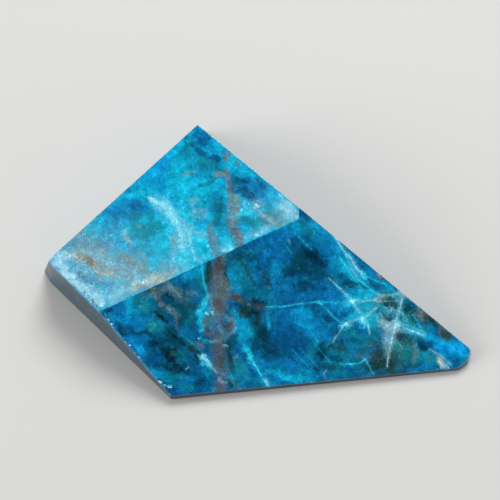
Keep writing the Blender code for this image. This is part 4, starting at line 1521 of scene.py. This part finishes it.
WALL_GROUND: Ground = (NAVY, ROYAL, AZURE, TEAL)
UPPER_SIDE = Side("upper side", (ROYAL, AZURE, SKY, TEAL), marks=UPPER, bloom_and_sheen=MILKY_BLOOM_AND_SHEEN,
                  streaks=0.30, streak_turn=-36, contrast=0.2, gain=0.79)
FRONT_SIDE = Side("front side", (NAVY, COBALT, ROYAL, TEAL), marks=FRONT, bloom_and_sheen=(),
                  streaks=0.5, streak_turn=-54, contrast=0.35, gain=0.84)


@dataclass(frozen=True)
class StoneReading:
    """What the marks read at a place on the stone: where it lies, and the noises that fray and tear them.

    Lengths are in millimetres. A field named as a span says from where to where a noise or a depth is read.

    bloom_and_sheen_span, wall_span: the depths where the bloom and its painted sheen fade out, and where a
    wall has begun
    skin_span, rim_span: how near to a wall's face and how far below its rim a place lies that is on the wall
    swing, wander: blots that let the marks wander below a table, and how far for each millimetre of depth
    rough, soft: blots that fray outlines, and blots that bend them
    fray_reach, drift_reach, drift_fray: how far veins are frayed, and how far clouds are bent and frayed
    mottle, mottle_span, tear: blots that tear the rims of clouds, and how far
    patches, patch_span, patch_least: blots that break up veins, and what they leave in the gaps
    thread, thread_bend, thread_size, thread_span, thread_least: threads, how far they are bent, how wide and
        how long they are, and what they leave between them
    net_bend, nets, net_width: how far the hairlines are bent, the cells and lines of each net, and how many
        line widths a line takes to fade
    """

    bloom_and_sheen_span: Span = (1.0, 0.1)
    wall_span: Span = (0.3, 1.6)
    skin_span: Span = (0.5, 0.1)
    rim_span: Span = (0.1, 0.6)
    swing: Blots = Blots(9.0, 1.5)
    wander: float = 1.8
    rough: Blots = Blots(0.9, 2.0, 0.6)
    soft: Blots = Blots(4.5, 2.0)
    fray_reach: float = 0.45
    drift_reach: float = 3.0
    drift_fray: float = 1.4
    mottle: Blots = Blots(2.4, 5.0, 0.68)
    mottle_span: Span = (0.25, 0.75)
    tear: float = 0.75
    patches: Blots = Blots(1.4, 3.0, 0.6)
    patch_span: Span = (0.38, 0.58)
    patch_least: float = 0.30
    thread: Blots = Blots(1.0, 5.0, 0.7)
    thread_bend: float = 1.5
    thread_size: Span = (0.6, 2.0)
    thread_span: Span = (0.34, 0.60)
    thread_least: float = 0.3
    net_bend: float = 2.4
    nets: Tuple[Span, Span] = ((3.4, 0.09), (1.9, 0.07))
    net_width: float = 1.6

    def group(self, slide: Vector) -> bpy.types.NodeTree:
        """The nodes that turn a place on the stone into what its marks read, built once.

        Args:
            slide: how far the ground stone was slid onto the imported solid.

        Returns:
            The group: the marks' fields; whether the place lies just under a table, whether it is well below
            one, and whether it is on the front lip or on the left wall.
        """
        name = "reading the stone"
        if name in bpy.data.node_groups:
            return bpy.data.node_groups[name]
        masks = tuple((label, "Float") for label in ("Shallow", "Wall", "Lip", "Left"))
        wiring, given, result = new_group(name, (("Place", "Vector"),), FIELD_SOCKETS + masks)
        depth = self.read_depths(wiring, given["Place"], result, slide)
        self.read_fields(wiring, given["Place"], result, depth)
        return wiring.tree

    def read_depths(self, wiring: Wiring, place: bpy.types.NodeSocket, result: Dict[str, Any],
                    slide: Vector) -> bpy.types.NodeSocket:
        """Find how deep a place lies below the tables and which walls it is on.

        Args:
            wiring: the group's nodes.
            place: the place on the stone.
            result: the sockets that the group's outputs take.
            slide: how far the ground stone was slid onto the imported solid.

        Returns:
            The depth below the nearest table.
        """
        depth: Any = FAR_OFF
        for table in TABLES:
            depth = wiring.math("MINIMUM", depth, self.depth_behind(wiring, place, table, slide))
        depth = wiring.math("MAXIMUM", depth, 0.0)
        wiring.feed(result["Shallow"], wiring.span(depth, *self.bloom_and_sheen_span))
        wiring.feed(result["Wall"], wiring.span(depth, *self.wall_span))
        for label, walls in (("Lip", (FRONT_LIP,)), ("Left", (LEFT_WALL, LEFT_CORNER))):
            on_wall: Any = 0.0
            for wall in walls:
                behind = self.depth_behind(wiring, place, wall, slide)
                on_wall = wiring.math("MAXIMUM", on_wall, wiring.span(behind, *self.skin_span))
            below_rim = wiring.span(depth, *self.rim_span)
            wiring.feed(result[label], wiring.math("MULTIPLY", on_wall, below_rim))
        return depth

    def depth_behind(self, wiring: Wiring, place: bpy.types.NodeSocket, face: GroundFace, slide: Vector
                     ) -> bpy.types.NodeSocket:
        """How far a place lies behind a face of the slid stone."""
        reach = face.reach_mm + face.outward.dot(slide) / MM
        return wiring.math("SUBTRACT", reach, wiring.vector("DOT_PRODUCT", place, face.outward))

    def read_fields(self, wiring: Wiring, place: bpy.types.NodeSocket, result: Dict[str, Any],
                    depth: bpy.types.NodeSocket) -> None:
        """Find the place in plan, with soft and with frayed outlines, and the noises of the marks.

        Args:
            wiring: the group's nodes.
            place: the place on the stone.
            result: the sockets that the group's outputs take.
            depth: the depth below the nearest table, with which the plan wanders more and more.
        """
        level = wiring.vector("MULTIPLY_ADD", place, (1, 1, 0), (0, 0, 1))
        swing = self.sway(wiring, place, self.swing)
        swing = wiring.scaled(swing, wiring.math("MULTIPLY", depth, self.wander))
        level = wiring.vector("MULTIPLY_ADD", swing, (1, 1, 0), level)
        rough = self.sway(wiring, level, self.rough)
        soft = self.sway(wiring, level, self.soft)
        frayed = wiring.vector("MULTIPLY_ADD", rough, (self.fray_reach, self.fray_reach, 0), level)
        wiring.feed(result["Fray"], self.laid_flat(wiring, frayed))
        drift = wiring.vector("MULTIPLY_ADD", soft, (self.drift_reach, self.drift_reach, 0), level)
        drift = wiring.vector("MULTIPLY_ADD", rough, (self.drift_fray, self.drift_fray, 0), drift)
        wiring.feed(result["Drift"], self.laid_flat(wiring, drift))
        mottle = wiring.noise(level, self.mottle).outputs["Fac"]
        wiring.feed(result["Ragged"], wiring.span(mottle, *self.mottle_span, -self.tear, self.tear))
        patches = wiring.noise(level, self.patches).outputs["Fac"]
        patchy = wiring.span(patches, *self.patch_span, self.patch_least, 1.0)
        wiring.feed(result["Patchy"], patchy)
        threads = wiring.vector("MULTIPLY_ADD", soft, (self.thread_bend, 0, 0), level)
        width, length = self.thread_size
        threads = wiring.noise(wiring.vector("MULTIPLY", threads, (1 / width, 1 / length, 1)), self.thread)
        fibre = wiring.span(threads.outputs["Fac"], *self.thread_span, self.thread_least, 1.0)
        wiring.feed(result["Fibre"], fibre)
        bent = wiring.vector("MULTIPLY_ADD", soft, (self.net_bend, self.net_bend, 0), level)
        lines = [wiring.hairline(bent, wave_mm, width_mm / wave_mm * self.net_width)
                 for wave_mm, width_mm in self.nets]
        wiring.feed(result["Web"], wiring.math("MULTIPLY", wiring.math("MAXIMUM", *lines), patchy))

    def laid_flat(self, wiring: Wiring, place: bpy.types.NodeSocket) -> bpy.types.NodeSocket:
        """A place as (x, y, 1), which the marks' lines read.

        A Mapping node does it, because Cycles takes it up no earlier than the threads and the hairlines. The
        marks are then worked off one by one, and don't overfill its short list of values at hand.
        """
        inputs = {"Vector": place, "Scale": (1, 1, 0), "Location": (0, 0, 1)}
        return wiring.node("ShaderNodeMapping", inputs, vector_type="POINT").outputs["Vector"]

    def sway(self, wiring: Wiring, place: bpy.types.NodeSocket, blots: Blots) -> bpy.types.NodeSocket:
        """A noise as a push in all directions, by up to about one half."""
        return wiring.vector("SUBTRACT", wiring.noise(place, blots).outputs["Color"], (0.5, 0.5, 0.5))


@dataclass(frozen=True)
class DriftingGround:
    """The ground colour under all marks, which drifts between a middle tint and three others.

    Each other tint has its blots, from where to where their noise brings it up, how much it covers, and how
    far its noise is shifted, in millimetres, so that no two tints drift alike.
    """

    bright: Blots = Blots(7.0, 5.0, 0.62, 0.6)
    bright_span: Span = (0.36, 0.62)
    green: Blots = Blots(5.0, 5.0, 0.64, 0.4)
    green_span: Span = (0.48, 0.66)
    green_shift: Tuple[float, float, float] = (40, 7, 0)
    deep: Blots = Blots(3.6, 5.0, 0.68)
    deep_span: Span = (0.50, 0.68)
    deep_shift: Tuple[float, float, float] = (-25, 60, 9)
    cover: float = 0.7

    def colour(self, wiring: Wiring, place: bpy.types.NodeSocket, tints: Ground) -> bpy.types.NodeSocket:
        """The ground colour at a place.

        Args:
            wiring: the material's nodes.
            place: the place on the stone.
            tints: the deep, the middle, the bright and the green tint.

        Returns:
            The colour.
        """
        inputs: Dict[Any, Any] = {"Place": place}
        for label, tint in zip(("Deep", "Middle", "Bright", "Green"), tints):
            inputs[label] = tint.rgba
        return wiring.group(self.group(), inputs).outputs["Colour"]

    def group(self) -> bpy.types.NodeTree:
        """The nodes that drift between the four tints, built once."""
        name = "drifting ground colour"
        if name in bpy.data.node_groups:
            return bpy.data.node_groups[name]
        inputs = (("Place", "Vector"), ("Deep", "Color"), ("Middle", "Color"), ("Bright", "Color"),
                  ("Green", "Color"))
        wiring, given, result = new_group(name, inputs, (("Colour", "Color"),))
        place = given["Place"]
        bright = wiring.noise(place, self.bright).outputs["Fac"]
        green = wiring.noise(wiring.vector("ADD", place, self.green_shift), self.green).outputs["Fac"]
        deep = wiring.noise(wiring.vector("ADD", place, self.deep_shift), self.deep).outputs["Fac"]
        colour = wiring.blend(wiring.span(bright, *self.bright_span, smooth=True), given["Middle"],
                              given["Bright"])
        greenness = wiring.span(green, *self.green_span, 0.0, self.cover, smooth=True)
        colour = wiring.blend(greenness, colour, given["Green"])
        deepness = wiring.span(deep, *self.deep_span, 0.0, self.cover, smooth=True)
        wiring.feed(result["Colour"], wiring.blend(deepness, colour, given["Deep"]))
        return wiring.tree


@dataclass(frozen=True)
class GrainAndPolish:
    """The grain, the fine streaks, the hairline cracks and the sparkles, and the slightly uneven polish.

    fine, coarse: blots of the grain
    fine_span, coarse_span: from where to where their noise is read
    fine_tone, coarse_tone: how dark and how light the grain makes the stone there
    middling, light_span: the light that contrast leaves as it is, and how far it reaches from there
    crowd, crowd_streaks, crowd_sparkles: blots where streaks and sparkles gather, and where in their noise
    streak, streak_size, streak_span: the streaks' noise, their length and width in millimetres, and where in
        their noise they show
    bend, bend_reach: blots that bend the cracks, and how far, in millimetres
    cracks: the cell, the line's width as a share of it, and how much lighter or darker each net of cracks is
    crack_span: where in the coarse grain the cracks show
    sparkle, sparkle_span: the sparkles' noise, and where in it they show
    polish_span, gloss: where in the coarse grain the polish is read, and how rough it is there
    wall_roughness: how much rougher the walls are
    """

    fine: Blots = Blots(0.45, 2.0, 0.6)
    fine_span: Span = (0.25, 0.75)
    fine_tone: Span = (0.77, 1.25)
    coarse: Blots = Blots(1.6, 5.0, 0.66)
    coarse_span: Span = (0.28, 0.72)
    coarse_tone: Span = (0.66, 1.34)
    middling: float = 0.16
    light_span: Span = (0.2, 2.2)
    crowd: Blots = Blots(5.5, 3.0, 0.7)
    crowd_streaks: Span = (0.40, 0.58)
    crowd_sparkles: Span = (0.52, 0.68)
    streak: Blots = Blots(1.0, 2.0)
    streak_size: Span = (5.0, 0.32)
    streak_span: Span = (0.56, 0.70)
    bend: Blots = Blots(3.5, 3.0, 0.6)
    bend_reach: float = 5
    cracks: Tuple[Tuple[float, float, float], ...] = ((4.5, 0.035, -0.45), (3.1, 0.028, 0.9))
    crack_span: Span = (0.42, 0.62)
    sparkle: Blots = Blots(0.33, 0.0)
    sparkle_span: Span = (0.72, 0.84)
    polish_span: Span = (0.3, 0.7)
    gloss: Span = (0.07, 0.16)
    wall_roughness: float = 0.22

    def group(self) -> bpy.types.NodeTree:
        """The nodes that lay the grain over a colour and find how rough the polish is, built once."""
        name = "grain and polish"
        if name in bpy.data.node_groups:
            return bpy.data.node_groups[name]
        inputs = (("Under", "Color"), ("Place", "Vector"), ("Wall", "Float"), ("Streaks", "Float"),
                  ("Along", "Vector"), ("Across", "Vector"), ("Contrast", "Float"), ("Gain", "Float"))
        wiring, given, result = new_group(name, inputs, (("Colour", "Color"), ("Roughness", "Float")))
        place = given["Place"]
        fine = wiring.noise(place, self.fine).outputs["Fac"]
        coarse = wiring.noise(place, self.coarse).outputs["Fac"]
        tone = wiring.math("MULTIPLY", wiring.span(fine, *self.fine_span, *self.fine_tone),
                           wiring.span(coarse, *self.coarse_span, *self.coarse_tone))
        light = wiring.node("ShaderNodeSeparateColor", {0: given["Under"]}).outputs[1]
        light = wiring.held(wiring.math("DIVIDE", light, self.middling), *self.light_span)
        light = wiring.math("MULTIPLY", wiring.math("POWER", light, given["Contrast"]), given["Gain"])
        tone = wiring.math("MULTIPLY", tone, light)
        crowd = wiring.noise(place, self.crowd).outputs["Fac"]
        thread = self.streaks(wiring, given)
        thread = wiring.math("MULTIPLY", thread, wiring.span(crowd, *self.crowd_streaks))
        tone = wiring.math("MULTIPLY_ADD", tone, thread, tone)
        bent = wiring.noise(place, self.bend).outputs["Color"]
        bent = wiring.vector("MULTIPLY_ADD", bent, (self.bend_reach,) * 3, place)
        for wave_mm, width, gain in self.cracks:
            line = wiring.math("MULTIPLY", wiring.hairline(bent, wave_mm, width),
                               wiring.span(coarse, *self.crack_span))
            tone = wiring.math("MULTIPLY_ADD", wiring.math("MULTIPLY", tone, line), gain, tone)
        grey = wiring.node("ShaderNodeCombineColor", {0: tone, 1: tone, 2: tone}).outputs[0]
        colour = wiring.blend(1.0, given["Under"], grey, "MULTIPLY")
        sparkles = wiring.noise(place, self.sparkle).outputs["Fac"]
        sparkle = wiring.math("MULTIPLY", wiring.span(sparkles, *self.sparkle_span),
                              wiring.span(crowd, *self.crowd_sparkles))
        wiring.feed(result["Colour"], wiring.blend(sparkle, colour, CYAN.rgba))
        polish = wiring.span(coarse, *self.polish_span, *self.gloss)
        rougher = wiring.math("MULTIPLY_ADD", given["Wall"], self.wall_roughness, polish)
        wiring.feed(result["Roughness"], rougher)
        return wiring.tree

    def streaks(self, wiring: Wiring, given: Dict[str, Any]) -> bpy.types.NodeSocket:
        """How plainly a fine slanting streak shows at a place."""
        length, width = self.streak_size
        along = wiring.math("DIVIDE", wiring.vector("DOT_PRODUCT", given["Place"], given["Along"]), length)
        across = wiring.math("DIVIDE", wiring.vector("DOT_PRODUCT", given["Place"], given["Across"]), width)
        sheet = wiring.node("ShaderNodeCombineXYZ", {0: along, 1: across}).outputs[0]
        threads = wiring.noise(sheet, self.streak).outputs["Fac"]
        return wiring.span(threads, *self.streak_span, 0.0, given["Streaks"], smooth=True)


@dataclass(frozen=True)
class PolishedApatite:
    """The finish of one side: colours that run through the stone under a glassy polish.

    side: its ground colours and its marks
    streak_dip: how far the streaks dip down into the stone, along and across them
    wall_evenness: how much of the walls is plain ground colour
    wall_painted_shade, left_wall_painted_shade_and_reflection: painted shade, how far the walls are dulled
    to slate, and how far the left wall is, where it also paints the floor's grey reflection
    lip_painted_shadow: how far the front lip is darkened to near black, a painted shadow
    """

    side: Side
    streak_dip: Span = (0.5, 0.03)
    wall_evenness: float = 0.85
    wall_painted_shade: float = 0.25
    left_wall_painted_shade_and_reflection: float = 0.85
    lip_painted_shadow: float = 0.8

    def material(self, slide: Vector) -> bpy.types.Material:
        """Make the material.

        Args:
            slide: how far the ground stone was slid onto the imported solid.

        Returns:
            The finished material.
        """
        material = bpy.data.materials.new("polished blue apatite, " + self.side.name)
        material.use_nodes = True
        wiring = Wiring(material.node_tree)
        place = wiring.scaled(wiring.node("ShaderNodeTexCoord").outputs["Object"], 1 / MM)
        read = wiring.group(StoneReading().group(slide), {"Place": place}).outputs
        colour = self.marked(wiring, place, read)
        # Painted shade on the walls, a painted reflection on the left wall and a painted shadow on the front
        # lip
        colour = self.with_painted_wall_shade_and_lip_shadow(wiring, place, read, colour)
        turn = radians(self.side.streak_turn)
        down_along, down_across = self.streak_dip
        inputs = {"Under": colour, "Place": place, "Wall": read["Wall"], "Streaks": self.side.streaks,
                  "Along": (cos(turn), sin(turn), down_along),
                  "Across": (-sin(turn), cos(turn), down_across),
                  "Contrast": self.side.contrast, "Gain": self.side.gain}
        skin = wiring.group(GrainAndPolish().group(), inputs).outputs
        shader = material.node_tree.nodes["Principled BSDF"]
        wiring.feed(shader.inputs["Base Color"], skin["Colour"])
        wiring.feed(shader.inputs["Roughness"], skin["Roughness"])
        shader.inputs["IOR"].default_value = APATITE_INDEX
        return material

    def marked(self, wiring: Wiring, place: bpy.types.NodeSocket, read: Any) -> bpy.types.NodeSocket:
        """The ground colour with the side's marks on it.

        Args:
            wiring: the material's nodes.
            place: the place on the stone.
            read: what the marks read there.

        Returns:
            The colour.
        """
        fields = Fields.from_sockets(read)
        colour = DriftingGround().colour(wiring, place, self.side.ground)
        for region in self.side.marks:
            colour = region.lay(wiring, colour, fields)
        # The bloom just under the tables: milky stone, and with it a painted reflection of the upper table's
        # sheen
        if self.side.bloom_and_sheen:
            with_bloom_and_sheen = colour
            for region in self.side.bloom_and_sheen:
                with_bloom_and_sheen = region.lay(wiring, with_bloom_and_sheen, fields)
            colour = wiring.blend(read["Shallow"], colour, with_bloom_and_sheen)
        return colour

    def with_painted_wall_shade_and_lip_shadow(self, wiring: Wiring, place: bpy.types.NodeSocket, read: Any, colour: bpy.types.NodeSocket
                  ) -> bpy.types.NodeSocket:
        """The colour with plainer walls dulled by painted shade, the left wall more, as painted shade and a
        painted reflection of the floor, and the front lip darkened by a painted shadow.

        Args:
            wiring: the material's nodes.
            place: the place on the stone.
            read: what the marks read there.
            colour: the colour so far.

        Returns:
            The colour, changed only below the tables.
        """
        even = DriftingGround().colour(wiring, place, WALL_GROUND)
        colour = wiring.blend(wiring.math("MULTIPLY", read["Wall"], self.wall_evenness), colour, even)
        # Painted shade: the walls are dulled towards slate; on the left wall, far more, it also paints the
        # floor's grey reflection
        wall_shade_cover = wiring.span(read["Left"], 0.0, 1.0, self.wall_painted_shade, self.left_wall_painted_shade_and_reflection)
        colour = wiring.blend(wiring.math("MULTIPLY", read["Wall"], wall_shade_cover), colour, SLATE.rgba)
        # Painted shadow: the front lip is darkened almost to black
        dark = wiring.math("MULTIPLY", read["Lip"], self.lip_painted_shadow)
        return wiring.blend(dark, colour, PITCH.rgba)


def main() -> None:
    """Build the camera, the studio and the stone, in that order."""
    logging.basicConfig(level=logging.INFO, format="%(message)s")
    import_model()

    Viewpoint().build()
    log.info("camera set")
    Studio().build()
    log.info("floor, lights and surroundings set")

    stone = ApatiteStone().build()
    log.info("stone ground, eased and chipped: %d faces", len(stone.data.polygons))


if __name__ == "__main__":
    main()
